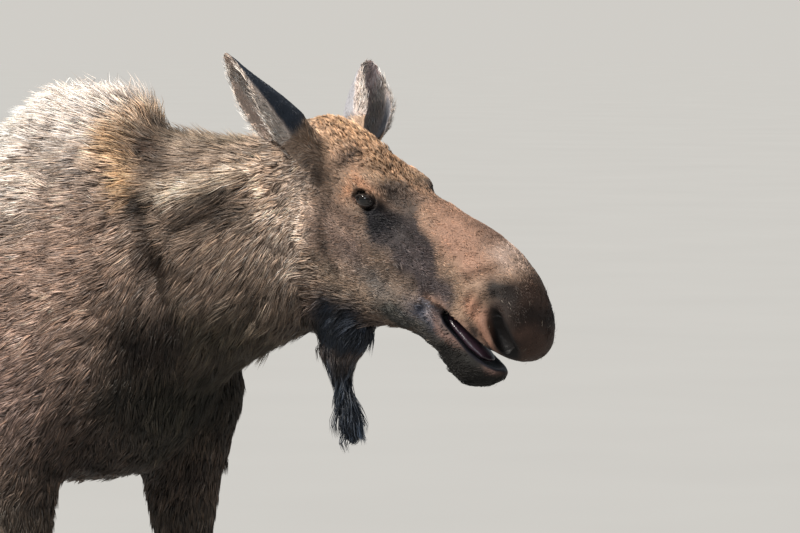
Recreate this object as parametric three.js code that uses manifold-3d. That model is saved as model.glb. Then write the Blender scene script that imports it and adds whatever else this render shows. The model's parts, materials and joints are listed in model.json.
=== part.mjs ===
// A cow moose at life size. It stands with its left foreleg a step ahead of the right,
// its head lowered, turned a little to its left, its mouth slightly open and its ears
// swung out.
//
// Millimetres, +Z up, +X forward and +Y to the animal's left. Lofts through a few
// stations give the outline of the coat. They are joined into one solid, which thin
// cuts then part into the pieces that a person would name. The eyes, the tongue, the
// claws and the dewclaws are solids of their own, each in a hollow that fits it.

import * as THREE from 'three';
import { LoftGeometry } from 'three/addons/geometries/LoftGeometry.js';
import { mergeVertices } from 'three/addons/utils/BufferGeometryUtils.js';
import Module from 'manifold-3d';

const wasm = await Module();
wasm.setup();

// Driving sizes

const DOWN = new THREE.Vector3( 0, 0, - 1 );
const CUT = 0.5; // width of the cuts that part the body
const FIT = 0.4; // room round a solid that sits in a hollow
const FAR = 4000; // longer than the whole animal
const MERGE = 1e-3; // corners of a shape that are nearer than this are one corner

// The head has a frame of its own: it starts at the poll, X runs along the face
// towards the nose and Z points out of the forehead.
const POLL = new THREE.Vector3( 610, 50, 1797 );
const HEAD_PITCH = THREE.MathUtils.degToRad( 36 ); // nose down
const HEAD_TURN = THREE.MathUtils.degToRad( 10 ); // to the animal's left

// Eyes, brows, nostrils and ears are given for the left side, in the head's frame
const EYE_RADIUS = 20;
const EYE_PLACE = new THREE.Vector3( 212, 79, - 47 );
const LID_SIZE = new THREE.Vector3( 21.5, 30, 11.5 ); // half sizes of the opening between the lids
const LID_OUT = 22; // from the middle of the eye to the middle of that opening
const LID_TILT = 0.3;

const BROW_PLACE = new THREE.Vector3( 200, 66, - 32 );
const BROW_SIZE = new THREE.Vector3( 74, 39, 33 );
const BROW_DIP = 0.06;
const BROW_TURN = - 0.1;

const NOSTRIL_PLACE = new THREE.Vector3( 596, 72, - 78 );
const NOSTRIL_SIZE = new THREE.Vector3( 47, 28, 10 );
const NOSTRIL_ROLL = 0.4;
const NOSTRIL_DIP = 0.42;
const NOSTRIL_TURN = - 0.2;

const EAR_LENGTH = 237;
const EAR_RADIUS = 48;
const EAR_WALL = 7;
const EAR_CUT = 36; // how far above its root an ear is parted from the head
const EAR_ROOT = new THREE.Vector3( 35, 95, - 52 );

// Where each ear points, and where its opening looks
const EARS = {
	ear_left: {
		side: 1,
		along: new THREE.Vector3( - 65, 68, 34 ),
		opening: new THREE.Vector3( 0.43, 0.06, 0.91 ),
	},
	ear_right: {
		side: - 1,
		along: new THREE.Vector3( - 71, - 56, 42 ),
		opening: new THREE.Vector3( 0.08, - 0.63, - 0.68 ),
	},
};

const MOUTH_CORNER = new THREE.Vector3( 427, 0, - 131.5 );
const MOUTH_SLOPE = THREE.MathUtils.degToRad( 4.5 );

const FOOT_SPREAD = 124; // from the middle plane to each foot
const FORE_CUT = 1022; // height where a foreleg leaves the trunk
const HIND_CUT = 1072;
const CORONET_HEIGHT = 66; // top of the horn of the claws, over the middle of the foot
const CORONET_SLOPE = THREE.MathUtils.degToRad( 14 );

const CLAW_GAP = 3;
const CLAW_TAPER = 0.28; // how much narrower a claw is at its toe than at its middle
const CLAW_TURN = 4; // how far the toe leans to the other claw

const DEWCLAW_PLACE = new THREE.Vector3( - 50, 25, 104 ); // left one, from the middle of the foot
const DEWCLAW_SIZE = new THREE.Vector3( 17, 14, 29 );
const DEWCLAW_ROLL = 0.12;
const DEWCLAW_DIP = 0.5;

// Where each foot stands: how far its middle is ahead of the hump
const FEET = {
	foreleg_left: { ahead: 122, side: 1 },
	foreleg_right: { ahead: - 108, side: - 1 },
	hindleg_left: { ahead: - 1352, side: 1 },
	hindleg_right: { ahead: - 1246, side: - 1 },
};
const HIND_STAND = - 1300; // where both hind feet would stand if they were level

// A step moves a leg most at its foot, less at its elbow and not at all at its top
const LEG_TOP = 1620;
const ELBOW = 1180;
const ELBOW_SHARE = 0.72;

// How many points go round each kind of section
const TRUNK_RING = 22;
const FACE_RING = 20;
const JAW_RING = 14;
const LEG_RING = 12;
const SMALL_RING = 10;
const EAR_STEPS = 7; // along each face of the rolled leaf

// Spacing of the stations along each loft
const TRUNK_SPACING = 150;
const LEG_SPACING = 130;
const FACE_SPACING = 42;
const SMALL_SPACING = 60;
const EAR_SPACING = 0.2;

// Outlines. Each row starts with the station's place along the loft.

// From the rump to the breast: top and bottom of the coat, half of its width, the
// height where it is widest, and how square it is above and below that height.
const TRUNK = profile( [ 'top', 'bottom', 'side', 'widest', 'above', 'below' ], [
	[ - 1556, 1458, 1362, 34, 1402, 2, 2 ],
	[ - 1526, 1528, 1290, 96, 1405, 2, 2 ],
	[ - 1450, 1602, 1218, 164, 1405, 2, 2 ],
	[ - 1330, 1656, 1150, 218, 1400, 2.1, 2 ],
	[ - 1150, 1692, 1108, 258, 1390, 2.1, 2 ],
	[ - 930, 1690, 1084, 288, 1365, 2, 2.1 ],
	[ - 680, 1694, 1036, 302, 1335, 2, 2.2 ],
	[ - 430, 1720, 1026, 284, 1330, 1.9, 2.2 ],
	[ - 290, 1753, 1030, 256, 1330, 1.8, 2.2 ],
	[ - 195, 1802, 1034, 234, 1330, 1.65, 2.1 ],
	[ - 110, 1858, 1038, 214, 1325, 1.5, 2 ],
	[ 20, 1860, 1044, 196, 1325, 1.45, 2 ],
	[ 98, 1822, 1062, 183, 1320, 1.5, 2 ],
	[ 160, 1766, 1090, 160, 1310, 1.6, 2 ],
	[ 235, 1560, 1142, 114, 1290, 1.9, 2 ],
	[ 276, 1390, 1210, 50, 1280, 2, 2 ],
] );

// From inside the shoulders to inside the head: where the crest and the throat run
// (forward and height of each), half of the width, and how far it bends to the left.
const NECK = profile( [ 'crestX', 'crestZ', 'throatX', 'throatZ', 'side', 'bend' ], [
	[ 0, 62, 1700, 165, 1170, 158, 0 ],
	[ 1, 195, 1764, 288, 1232, 154, 4 ],
	[ 2, 325, 1756, 402, 1294, 140, 12 ],
	[ 3, 430, 1757, 508, 1342, 125, 26 ],
	[ 4, 530, 1764, 585, 1372, 107, 40 ],
	[ 5, 596, 1758, 642, 1398, 80, 52 ],
] );
const NECK_SQUARE = 2.15;
const NECK_WIDEST = 0.47; // how far up from the throat to the crest it is widest

// Along the face from the back of the skull to the nose, in the head's frame
const FACE = profile( [ 'top', 'bottom', 'side', 'widest', 'above', 'below' ], [
	[ - 62, - 60, - 190, 50, - 115, 2, 2 ],
	[ - 20, - 12, - 236, 77, - 105, 2.5, 2.1 ],
	[ 50, 8, - 266, 90, - 98, 3, 2.4 ],
	[ 130, 12, - 284, 95, - 92, 3.2, 2.7 ],
	[ 205, 5, - 276, 97, - 84, 3.1, 2.8 ],
	[ 270, 8, - 250, 90, - 78, 2.6, 2.8 ],
	[ 345, 25, - 204, 76, - 68, 2.3, 2.6 ],
	[ 400, 36, - 160, 66, - 58, 2.3, 2.6 ],
	[ 440, 39, - 133, 61, - 56, 2.3, 2.9 ],
	[ 500, 38, - 129, 66, - 60, 2.4, 3 ],
	[ 552, 28, - 127, 74, - 64, 2.5, 2.9 ],
	[ 592, 6, - 124, 76, - 70, 2.5, 2.6 ],
	[ 620, - 20, - 117, 68, - 76, 2.4, 2.4 ],
	[ 639, - 46, - 107, 50, - 78, 2.2, 2.2 ],
	[ 649, - 66, - 90, 24, - 78, 2, 2 ],
] );

// The lower jaw, from its angle under the ear to the lip
const JAW = profile( [ 'top', 'bottom', 'side', 'widest', 'above', 'below' ], [
	[ 90, - 130, - 268, 50, - 205, 2, 2 ],
	[ 150, - 100, - 298, 80, - 190, 2.4, 2.2 ],
	[ 240, - 86, - 298, 83, - 182, 2.8, 2.4 ],
	[ 320, - 84, - 266, 73, - 172, 3, 2.4 ],
	[ 385, - 94, - 228, 64, - 162, 3, 2.3 ],
	[ 416, - 122, - 216, 57, - 161, 2.8, 2.2 ],
	[ 432, - 134, - 214, 53, - 163, 2.7, 2.2 ],
	[ 470, - 139, - 211, 49, - 166, 2.7, 2.2 ],
	[ 520, - 147, - 223, 48, - 172, 2.7, 2.2 ],
	[ 560, - 150, - 221, 48, - 174, 2.6, 2.2 ],
	[ 590, - 149, - 203, 40, - 168, 2.4, 2.1 ],
	[ 606, - 150, - 186, 28, - 165, 2.1, 2 ],
	[ 613, - 154, - 174, 13, - 163, 2, 2 ],
] );

// The hollow of the mouth, and the tongue that lies in it
const MOUTH = profile( [ 'top', 'bottom', 'side', 'widest' ], [
	[ 440, - 128, - 146, 24, - 138 ],
	[ 470, - 112, - 156, 36, - 140 ],
	[ 540, - 106, - 166, 38, - 142 ],
	[ 585, - 112, - 162, 28, - 142 ],
	[ 598, - 124, - 152, 14, - 142 ],
] );
const TONGUE = profile( [ 'top', 'bottom', 'side', 'widest' ], [
	[ 447, - 136, - 147, 13, - 142 ],
	[ 475, - 137, - 155, 25, - 147 ],
	[ 530, - 141, - 163, 27, - 153 ],
	[ 562, - 146, - 162, 22, - 154 ],
	[ 575, - 150, - 157, 10, - 154 ],
] );

// A foreleg, from the shoulder blade down: front and back edge ahead of the foot's
// middle, how far its middle stands out to the side, and half of its width.
const FORELEG = profile( [ 'front', 'back', 'out', 'half' ], [
	[ 36, 74, - 44, 124, 50 ],
	[ 78, 58, - 42, 124, 47 ],
	[ 118, 42, - 42, 124, 38 ],
	[ 160, 38, - 54, 124, 39 ],
	[ 208, 33, - 43, 124, 33 ],
	[ 290, 31, - 33, 124, 29 ],
	[ 400, 33, - 34, 125, 31 ],
	[ 478, 44, - 40, 126, 39 ],
	[ 540, 53, - 45, 127, 44 ],
	[ 600, 49, - 43, 128, 41 ],
	[ 690, 48, - 47, 130, 41 ],
	[ 810, 58, - 57, 134, 46 ],
	[ 930, 74, - 76, 138, 54 ],
	[ 1022, 94, - 104, 140, 64 ],
	[ 1110, 130, - 134, 139, 76 ],
	[ 1210, 176, - 150, 136, 86 ],
	[ 1330, 190, - 170, 132, 88 ],
	[ 1460, 158, - 190, 120, 80 ],
	[ 1580, 100, - 165, 98, 56 ],
	[ 1650, 50, - 110, 84, 28 ],
] );

// A hind leg, with its hock behind the foot and its stifle far in front of it
const HINDLEG = profile( [ 'front', 'back', 'out', 'half' ], [
	[ 36, 74, - 44, 124, 50 ],
	[ 78, 58, - 42, 124, 47 ],
	[ 118, 38, - 46, 124, 38 ],
	[ 162, 27, - 62, 124, 39 ],
	[ 212, 15, - 56, 124, 32 ],
	[ 300, 3, - 62, 124, 29 ],
	[ 450, - 13, - 86, 124, 30 ],
	[ 560, - 14, - 110, 125, 37 ],
	[ 630, - 2, - 140, 126, 43 ],
	[ 695, 22, - 156, 128, 42 ],
	[ 745, 50, - 148, 132, 42 ],
	[ 820, 98, - 120, 140, 50 ],
	[ 920, 168, - 112, 154, 66 ],
	[ 1010, 226, - 128, 164, 80 ],
	[ 1100, 262, - 170, 168, 92 ],
	[ 1210, 262, - 214, 164, 98 ],
	[ 1340, 238, - 228, 152, 94 ],
	[ 1470, 196, - 200, 132, 78 ],
	[ 1560, 140, - 140, 112, 52 ],
	[ 1612, 80, - 80, 100, 26 ],
] );

// The bell under the throat: a flap that narrows to a tassel, from its tip upwards
const BELL = profile( [ 'middle', 'half', 'thick' ], [
	[ 1168, 668, 11, 9 ],
	[ 1196, 662, 22, 18 ],
	[ 1236, 652, 20, 16 ],
	[ 1282, 638, 13, 12 ],
	[ 1310, 630, 27, 19 ],
	[ 1336, 632, 56, 28 ],
	[ 1372, 642, 74, 34 ],
	[ 1412, 652, 74, 36 ],
	[ 1446, 655, 50, 26 ],
] );
const BELL_LEFT = 56; // its middle, to the animal's left
const BELL_CUT = 1356;

// The tail, from its tip upwards
const TAIL = profile( [ 'middle', 'half', 'wide' ], [
	[ 1392, - 1588, 9, 12 ],
	[ 1412, - 1586, 18, 26 ],
	[ 1450, - 1572, 23, 36 ],
	[ 1492, - 1546, 27, 38 ],
	[ 1520, - 1518, 22, 30 ],
] );

// An ear is a leaf rolled round its length. Each row has the place as a share of the
// length, the radius as a share of the ear's, how many degrees of the roll are open, how
// deep the section is for its width, and how far it leans towards the opening.
const EAR = profile( [ 'radius', 'open', 'deep', 'lean' ], [
	[ - 0.16, 0.72, 40, 1.2, 2 ],
	[ 0, 0.8, 60, 1.24, 3 ],
	[ 0.18, 0.92, 78, 1.18, 6 ],
	[ 0.36, 1.02, 94, 0.99, 11 ],
	[ 0.52, 1.07, 112, 0.79, 13 ],
	[ 0.67, 1.03, 136, 0.6, 13 ],
	[ 0.81, 0.87, 160, 0.46, 11 ],
	[ 0.93, 0.55, 178, 0.36, 6 ],
	[ 1, 0.16, 180, 0.4, 2 ],
] );

// A claw, from the floor up: its heel and toe ahead of the foot's middle, half of its
// width, and how far it stands out from the middle of the foot.
const CLAW = profile( [ 'heel', 'toe', 'half', 'out' ], [
	[ 0, - 46, 86, 26, 29 ],
	[ 4, - 49, 88, 28, 30 ],
	[ 38, - 47, 74, 27, 28 ],
	[ 100, - 40, 40, 24, 24 ],
] );

// Where the neck, the head and the tail are cut
const WITHERS = new THREE.Vector3( 172, 0, 1800 );
const SHOULDER_SLOPE = new THREE.Vector3( 600, 0, 160 );
const NAPE = new THREE.Vector3( - 36, 0, 20 ); // in the head's frame
const TAIL_ROOT = new THREE.Vector3( - 1556, 0, 1490 );
const TAIL_SLOPE = new THREE.Vector3( - 0.98, 0, - 0.2 );

// Finishes

const coat = finish( 0x5b4a3f, 0.9 );
const face = finish( 0x6b4c38, 0.85 );
const darkHair = finish( 0x2a2421, 0.9 );
const innerMouth = finish( 0x3c3440, 0.45 );
const eyeball = finish( 0x17100c, 0.08 );
const horn = finish( 0x26221f, 0.5 );

function finish( color, roughness ) {

	return new THREE.MeshStandardMaterial( { color, roughness, metalness: 0 } );

}

// A smooth curve through each column of a table of stations

function profile( fields, rows ) {

	const places = rows.map( ( row ) => row[ 0 ] );
	const last = rows.length - 1;

	function slope( column, index ) {

		const before = Math.max( index - 1, 0 );
		const after = Math.min( index + 1, last );
		const rise = rows[ after ][ column ] - rows[ before ][ column ];
		return rise / ( places[ after ] - places[ before ] );

	}

	function at( place ) {

		let index = 0;
		while ( index < last - 1 && places[ index + 1 ] < place ) index ++;
		const span = places[ index + 1 ] - places[ index ];
		const t = THREE.MathUtils.clamp( ( place - places[ index ] ) / span, 0, 1 );
		const values = { place };
		fields.forEach( ( field, order ) => {

			const column = order + 1;
			const start = rows[ index ][ column ];
			const end = rows[ index + 1 ][ column ];
			const leave = slope( column, index ) * span;
			const arrive = slope( column, index + 1 ) * span;
			const rise = end - start;
			const bend = 3 * rise - 2 * leave - arrive;
			const twist = leave + arrive - 2 * rise;
			values[ field ] = start + t * ( leave + t * ( bend + t * twist ) );

		} );
		return values;

	}

	// The stations themselves, with more between them where they are further apart
	function stations( spacing ) {

		const result = [];
		for ( let index = 0; index < last; index ++ ) {

			const span = places[ index + 1 ] - places[ index ];
			const steps = Math.max( 1, Math.round( span / spacing ) );
			for ( let step = 0; step < steps; step ++ ) result.push( at( places[ index ] + span * step / steps ) );

		}

		result.push( at( places[ last ] ) );
		return result;

	}

	return { at, stations };

}

// Sections

// An oval that may be squarer and longer above its widest line than below it
function oval( side, up, down, above, below, count ) {

	const points = [];
	for ( let index = 0; index < count; index ++ ) {

		const angle = 2 * Math.PI * ( index + 0.5 ) / count;
		const across = Math.cos( angle );
		const rise = Math.sin( angle );
		const power = 2 / ( rise > 0 ? above : below );
		const reach = rise > 0 ? up : down;
		points.push( {
			across: side * Math.sign( across ) * Math.abs( across ) ** power,
			rise: reach * Math.sign( rise ) * Math.abs( rise ) ** power,
		} );

	}

	return points;

}

// A section that stands across the X axis
function uprightSection( row, count ) {

	const up = row.top - row.widest;
	const down = row.widest - row.bottom;
	const ring = oval( row.side, up, down, row.above ?? 2, row.below ?? 2, count );
	return ring.map( ( point ) => new THREE.Vector3( row.place, point.across, row.widest + point.rise ) );

}

// A level section, given its middle and its two half widths
function levelSection( x, y, z, halfX, halfY, count ) {

	const ring = oval( halfX, halfY, halfY, 2, 2, count );
	return ring.map( ( point ) => new THREE.Vector3( x + point.across, y + point.rise, z ) );

}

// Solids

function solidOf( geometry ) {

	const bare = geometry.clone();
	bare.deleteAttribute( 'normal' );
	bare.deleteAttribute( 'uv' );
	const merged = mergeVertices( bare, MERGE );
	return new wasm.Manifold( new wasm.Mesh( {
		numProp: 3,
		vertProperties: new Float32Array( merged.attributes.position.array ),
		triVerts: new Uint32Array( merged.index.array ),
	} ) );

}

function geometryOf( solid ) {

	const mesh = solid.getMesh();
	const geometry = new THREE.BufferGeometry();
	geometry.setAttribute( 'position', new THREE.BufferAttribute( mesh.vertProperties, 3 ) );
	geometry.setIndex( new THREE.BufferAttribute( mesh.triVerts, 1 ) );
	geometry.computeVertexNormals();
	return geometry;

}

function loftGeometry( sections ) {

	const loft = new LoftGeometry( sections, { closed: true, capStart: true, capEnd: true } );
	return new THREE.BufferGeometry().copy( loft );

}

function uprightLoft( shape, spacing, count ) {

	return loftGeometry( shape.stations( spacing ).map( ( row ) => uprightSection( row, count ) ) );

}

function placed( geometry, matrix ) {

	return solidOf( geometry.clone().applyMatrix4( matrix ) );

}

function ellipsoid( center, radii, tilt, across, down ) {

	const turn = new THREE.Quaternion().setFromEuler( tilt );
	const matrix = new THREE.Matrix4().compose( center, turn, radii );
	return new THREE.SphereGeometry( 1, across, down ).applyMatrix4( matrix );

}

function joined( solids ) {

	return solids.reduce( ( whole, solid ) => whole.add( solid ) );

}

// A large block whose flat face passes through a point, on the side its normal points to
function blockBeyond( point, normal, offset ) {

	const out = normal.clone().normalize();
	const turn = new THREE.Quaternion().setFromUnitVectors( new THREE.Vector3( 0, 0, 1 ), out );
	const center = point.clone().addScaledVector( out, FAR / 2 + offset );
	const matrix = new THREE.Matrix4().compose( center, turn, new THREE.Vector3( FAR, FAR, FAR ) );
	return placed( new THREE.BoxGeometry( 1, 1, 1 ), matrix );

}

// Parts a solid with a thin flat cut, and gives the piece beyond the cut and the rest.
// Where a reach is given, the cut only takes what lies inside that block too.
function part( solid, point, normal, reach ) {

	let beyond = blockBeyond( point, normal, CUT / 2 );
	let removed = blockBeyond( point, normal, - CUT / 2 );
	if ( reach ) {

		beyond = beyond.intersect( reach );
		removed = removed.intersect( reach );

	}

	return { piece: solid.intersect( beyond ), rest: solid.subtract( removed ) };

}

function block( low, high, matrix ) {

	const size = high.clone().sub( low );
	const center = low.clone().add( high ).multiplyScalar( 0.5 );
	const geometry = new THREE.BoxGeometry( size.x, size.y, size.z ).translate( center.x, center.y, center.z );
	return matrix ? placed( geometry, matrix ) : solidOf( geometry );

}

// The head

const headMatrix = new THREE.Matrix4().compose(
	POLL,
	new THREE.Quaternion().setFromEuler( new THREE.Euler( 0, HEAD_PITCH, HEAD_TURN, 'ZYX' ) ),
	new THREE.Vector3( 1, 1, 1 ),
);

function onSide( point, side ) {

	return new THREE.Vector3( point.x, side * point.y, point.z );

}

function buildHead() {

	const solids = [
		placed( uprightLoft( FACE, FACE_SPACING, FACE_RING ), headMatrix ),
		placed( uprightLoft( JAW, SMALL_SPACING, JAW_RING ), headMatrix ),
	];
	for ( const side of [ - 1, 1 ] ) {

		const tilt = new THREE.Euler( 0, BROW_DIP, side * BROW_TURN );
		const brow = ellipsoid( onSide( BROW_PLACE, side ), BROW_SIZE, tilt, SMALL_RING, 6 );
		solids.push( placed( brow, headMatrix ) );

	}

	return joined( solids );

}

function hollowHead( head ) {

	const hollows = [ placed( uprightLoft( MOUTH, SMALL_SPACING, SMALL_RING ), headMatrix ) ];
	for ( const side of [ - 1, 1 ] ) {

		const eye = onSide( EYE_PLACE, side );
		const tilt = new THREE.Euler( side * NOSTRIL_ROLL, NOSTRIL_DIP, side * NOSTRIL_TURN );
		const nostril = ellipsoid( onSide( NOSTRIL_PLACE, side ), NOSTRIL_SIZE, tilt, 12, 6 );
		const socket = new THREE.SphereGeometry( EYE_RADIUS + FIT, 12, 6 ).translate( eye.x, eye.y, eye.z );
		const gap = eye.clone().add( new THREE.Vector3( 0, side * LID_OUT, 0 ) );
		const lids = ellipsoid( gap, LID_SIZE, new THREE.Euler( 0, LID_TILT, 0 ), SMALL_RING, 6 );
		hollows.push( placed( nostril, headMatrix ), placed( socket, headMatrix ), placed( lids, headMatrix ) );

	}

	return hollows.reduce( ( rest, hollow ) => rest.subtract( hollow ), head );

}

// In its own frame an ear runs up Z, and its opening faces X

function earSection( row ) {

	const radius = EAR_RADIUS * row.radius;
	const wall = Math.min( EAR_WALL, radius * 0.8 );
	const start = THREE.MathUtils.degToRad( row.open / 2 );
	const points = [];
	for ( const [ reach, forward ] of [ [ radius, true ], [ radius - wall, false ] ] ) {

		for ( let step = 0; step <= EAR_STEPS; step ++ ) {

			const share = forward ? step / EAR_STEPS : 1 - step / EAR_STEPS;
			const angle = start + ( 2 * Math.PI - 2 * start ) * share;
			points.push( new THREE.Vector3(
				reach * row.deep * Math.cos( angle ) + row.lean,
				reach * Math.sin( angle ),
				row.place * EAR_LENGTH,
			) );

		}

	}

	return points;

}

// A plain sleeve round the ear, which keeps its cut away from the crown
function earSleeve( row ) {

	const room = 4;
	const radius = EAR_RADIUS * row.radius + room;
	const height = row.place * ( EAR_LENGTH + room );
	return levelSection( row.lean, 0, height, radius * row.deep + room, radius, LEG_RING );

}

function earMatrix( ear ) {

	const up = ear.along.clone().normalize();
	const left = up.clone().cross( ear.opening ).normalize();
	const front = left.clone().cross( up );
	return headMatrix.clone().multiply(
		new THREE.Matrix4().makeBasis( front, left, up ).setPosition( onSide( EAR_ROOT, ear.side ) ),
	);

}

function earLoft( ear, section ) {

	return placed( loftGeometry( EAR.stations( EAR_SPACING ).map( section ) ), earMatrix( ear ) );

}

// Neck and trunk

function buildNeck() {

	const sections = NECK.stations( 1 ).map( ( row ) => {

		const crest = new THREE.Vector3( row.crestX, row.bend, row.crestZ );
		const throat = new THREE.Vector3( row.throatX, row.bend, row.throatZ );
		const middle = throat.clone().lerp( crest, NECK_WIDEST );
		const up = crest.clone().sub( throat ).normalize();
		const reach = [ crest.distanceTo( middle ), middle.distanceTo( throat ) ];
		const ring = oval( row.side, ...reach, NECK_SQUARE, NECK_SQUARE, TRUNK_RING );
		return ring.map( ( point ) => {

			const place = middle.clone().addScaledVector( up, point.rise );
			place.y += point.across;
			return place;

		} );

	} );
	return solidOf( loftGeometry( sections ) );

}

// Legs

// A leg's upper end stays by the body while its foot is set ahead or back
function swing( ahead, stand, height ) {

	const step = ahead - stand;
	if ( height < ELBOW ) return step * THREE.MathUtils.lerp( 1, ELBOW_SHARE, height / ELBOW );
	return step * ELBOW_SHARE * THREE.MathUtils.clamp( ( LEG_TOP - height ) / ( LEG_TOP - ELBOW ), 0, 1 );

}

function buildLeg( shape, foot, stand ) {

	const sections = shape.stations( LEG_SPACING ).map( ( row ) => {

		const middle = ( row.front + row.back ) / 2 + stand + swing( foot.ahead, stand, row.place );
		const length = ( row.front - row.back ) / 2;
		return levelSection( middle, foot.side * row.out, row.place, length, row.half, LEG_RING );

	} );
	return solidOf( loftGeometry( sections ) );

}

// Claws. In the foot's frame the toes point along X and the floor is at Z = 0.

const coronetPoint = new THREE.Vector3( 0, 0, CORONET_HEIGHT );
const coronetNormal = new THREE.Vector3( - Math.sin( CORONET_SLOPE ), 0, Math.cos( CORONET_SLOPE ) );

function buildClaw( side ) {

	const sections = CLAW.stations( SMALL_SPACING ).map( ( row ) => {

		const length = ( row.toe - row.heel ) / 2;
		const middle = ( row.toe + row.heel ) / 2;
		const points = [];
		for ( let index = 0; index < SMALL_RING; index ++ ) {

			const angle = 2 * Math.PI * index / SMALL_RING;
			const along = Math.cos( angle );
			const wide = row.half * Math.sin( angle ) * ( 1 - CLAW_TAPER * along );
			const across = side * row.out + wide - side * CLAW_TURN * Math.max( along, 0 );
			const clear = side > 0 ? Math.max( across, CLAW_GAP / 2 ) : Math.min( across, - CLAW_GAP / 2 );
			points.push( new THREE.Vector3( middle + length * along, clear, row.place ) );

		}

		return points;

	} );
	const above = blockBeyond( coronetPoint, coronetNormal, - CUT / 2 );
	return solidOf( loftGeometry( sections ) ).subtract( above );

}

function dewclawGeometry( side, grow ) {

	const tilt = new THREE.Euler( side * DEWCLAW_ROLL, DEWCLAW_DIP, 0 );
	return ellipsoid( onSide( DEWCLAW_PLACE, side ), DEWCLAW_SIZE.clone().addScalar( grow ), tilt, 8, 4 );

}

// The body as one solid

function levelLoft( shape, section ) {

	return solidOf( loftGeometry( shape.stations( SMALL_SPACING ).map( section ) ) );

}

function footMatrix( foot ) {

	return new THREE.Matrix4().makeTranslation( foot.ahead, foot.side * FOOT_SPREAD, 0 );

}

function buildBody() {

	const legs = Object.entries( FEET ).map( ( [ name, foot ] ) => {

		const hind = name.startsWith( 'hind' );
		return buildLeg( hind ? HINDLEG : FORELEG, foot, hind ? HIND_STAND : 0 );

	} );
	const bell = levelLoft( BELL, ( row ) => (
		levelSection( row.middle, BELL_LEFT, row.place, row.half, row.thick, LEG_RING )
	) );
	const tail = levelLoft( TAIL, ( row ) => (
		levelSection( row.middle, 0, row.place, row.half, row.wide, SMALL_RING )
	) );
	const trunk = solidOf( uprightLoft( TRUNK, TRUNK_SPACING, TRUNK_RING ) );
	const flesh = joined( [ trunk, buildNeck(), buildHead(), bell, tail, ...legs ] );
	const ears = Object.values( EARS ).map( ( ear ) => earLoft( ear, earSection ) );
	return joined( [ hollowHead( flesh ), ...ears ] );

}

// The pieces

const moose = new THREE.Group();
const head = new THREE.Group();
head.applyMatrix4( headMatrix );
moose.add( head );

function add( name, geometry, material, group = moose ) {

	const mesh = new THREE.Mesh( geometry, material );
	mesh.name = name;
	group.add( mesh );
	return mesh;

}

function addFoot( name, foot, rest ) {

	const group = new THREE.Group();
	group.position.set( foot.ahead, foot.side * FOOT_SPREAD, 0 );
	moose.add( group );
	for ( const side of [ - 1, 1 ] ) {

		const place = side === foot.side ? 'outer' : 'inner';
		add( `${ name }_claw_${ place }`, geometryOf( buildClaw( side ) ), horn, group );
		add( `${ name }_dewclaw_${ place }`, dewclawGeometry( side, 0 ), horn, group );
		rest = rest.subtract( placed( dewclawGeometry( side, FIT ), footMatrix( foot ) ) );

	}

	// The horn starts under a cut that slopes back from the front of the coronet
	const matrix = footMatrix( foot );
	const hoof = block( new THREE.Vector3( - 130, - 80, - 10 ), new THREE.Vector3( 130, 80, 150 ), matrix );
	const middle = coronetPoint.clone().applyMatrix4( matrix );
	const below = blockBeyond( middle, coronetNormal.clone().negate(), - CUT / 2 );
	return rest.subtract( hoof.intersect( below ) );

}

let rest = buildBody();

for ( const [ name, foot ] of Object.entries( FEET ) ) {

	const hind = name.startsWith( 'hind' );
	const height = hind ? HIND_CUT : FORE_CUT;
	const stand = hind ? HIND_STAND : 0;
	rest = addFoot( name, foot, rest );
	const low = new THREE.Vector3( stand - 385, foot.side > 0 ? 2 : - 400, - 10 );
	const high = new THREE.Vector3( stand + 385, foot.side > 0 ? 400 : - 2, height + 10 );
	const cut = part( rest, new THREE.Vector3( 0, 0, height ), DOWN, block( low, high ) );
	add( name, geometryOf( cut.piece ), coat );
	rest = cut.rest;

}

for ( const [ name, ear ] of Object.entries( EARS ) ) {

	const matrix = earMatrix( ear );
	const point = new THREE.Vector3( 0, 0, EAR_CUT ).applyMatrix4( matrix );
	const along = new THREE.Vector3( 0, 0, 1 ).transformDirection( matrix );
	const cut = part( rest, point, along, earLoft( ear, earSleeve ) );
	add( name, geometryOf( cut.piece ), coat );
	rest = cut.rest;

}

// The bell leaves the throat at a level cut
const bellReach = block( new THREE.Vector3( 556, - 60, 1100 ), new THREE.Vector3( 790, 180, BELL_CUT + 10 ) );
const bellCut = part( rest, new THREE.Vector3( 0, 0, BELL_CUT ), DOWN, bellReach );
add( 'bell', geometryOf( bellCut.piece ), darkHair );

// The head starts behind the poll and the angle of the jaw
const napeNormal = new THREE.Vector3( 1, 0, 0 ).applyAxisAngle( new THREE.Vector3( 0, 0, 1 ), HEAD_TURN );
const nape = part( bellCut.rest, NAPE.clone().applyMatrix4( headMatrix ), napeNormal );

// The lower jaw is free in front of the corner of the mouth
const gapeLow = new THREE.Vector3( 0, - 120, - 140 );
const gapeHigh = new THREE.Vector3( 230, 120, 0 );
const gapeMatrix = headMatrix.clone().multiply(
	new THREE.Matrix4().makeRotationY( MOUTH_SLOPE ).setPosition( MOUTH_CORNER ),
);
const cutSize = new THREE.Vector3( CUT, 0, CUT );
const jaw = nape.piece.intersect( block( gapeLow, gapeHigh, gapeMatrix ) );
const gape = block( gapeLow.clone().sub( cutSize ), gapeHigh.clone().add( cutSize ), gapeMatrix );
const skull = nape.piece.subtract( gape );
add( 'lower_jaw', geometryOf( jaw ), face );
add( 'head', geometryOf( skull ), face );

add( 'tongue', uprightLoft( TONGUE, SMALL_SPACING, SMALL_RING ), innerMouth, head );
for ( const side of [ - 1, 1 ] ) {

	const ball = new THREE.SphereGeometry( EYE_RADIUS, 12, 6 );
	const eye = add( side > 0 ? 'eye_left' : 'eye_right', ball, eyeball, head );
	eye.position.copy( onSide( EYE_PLACE, side ) );

}

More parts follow.
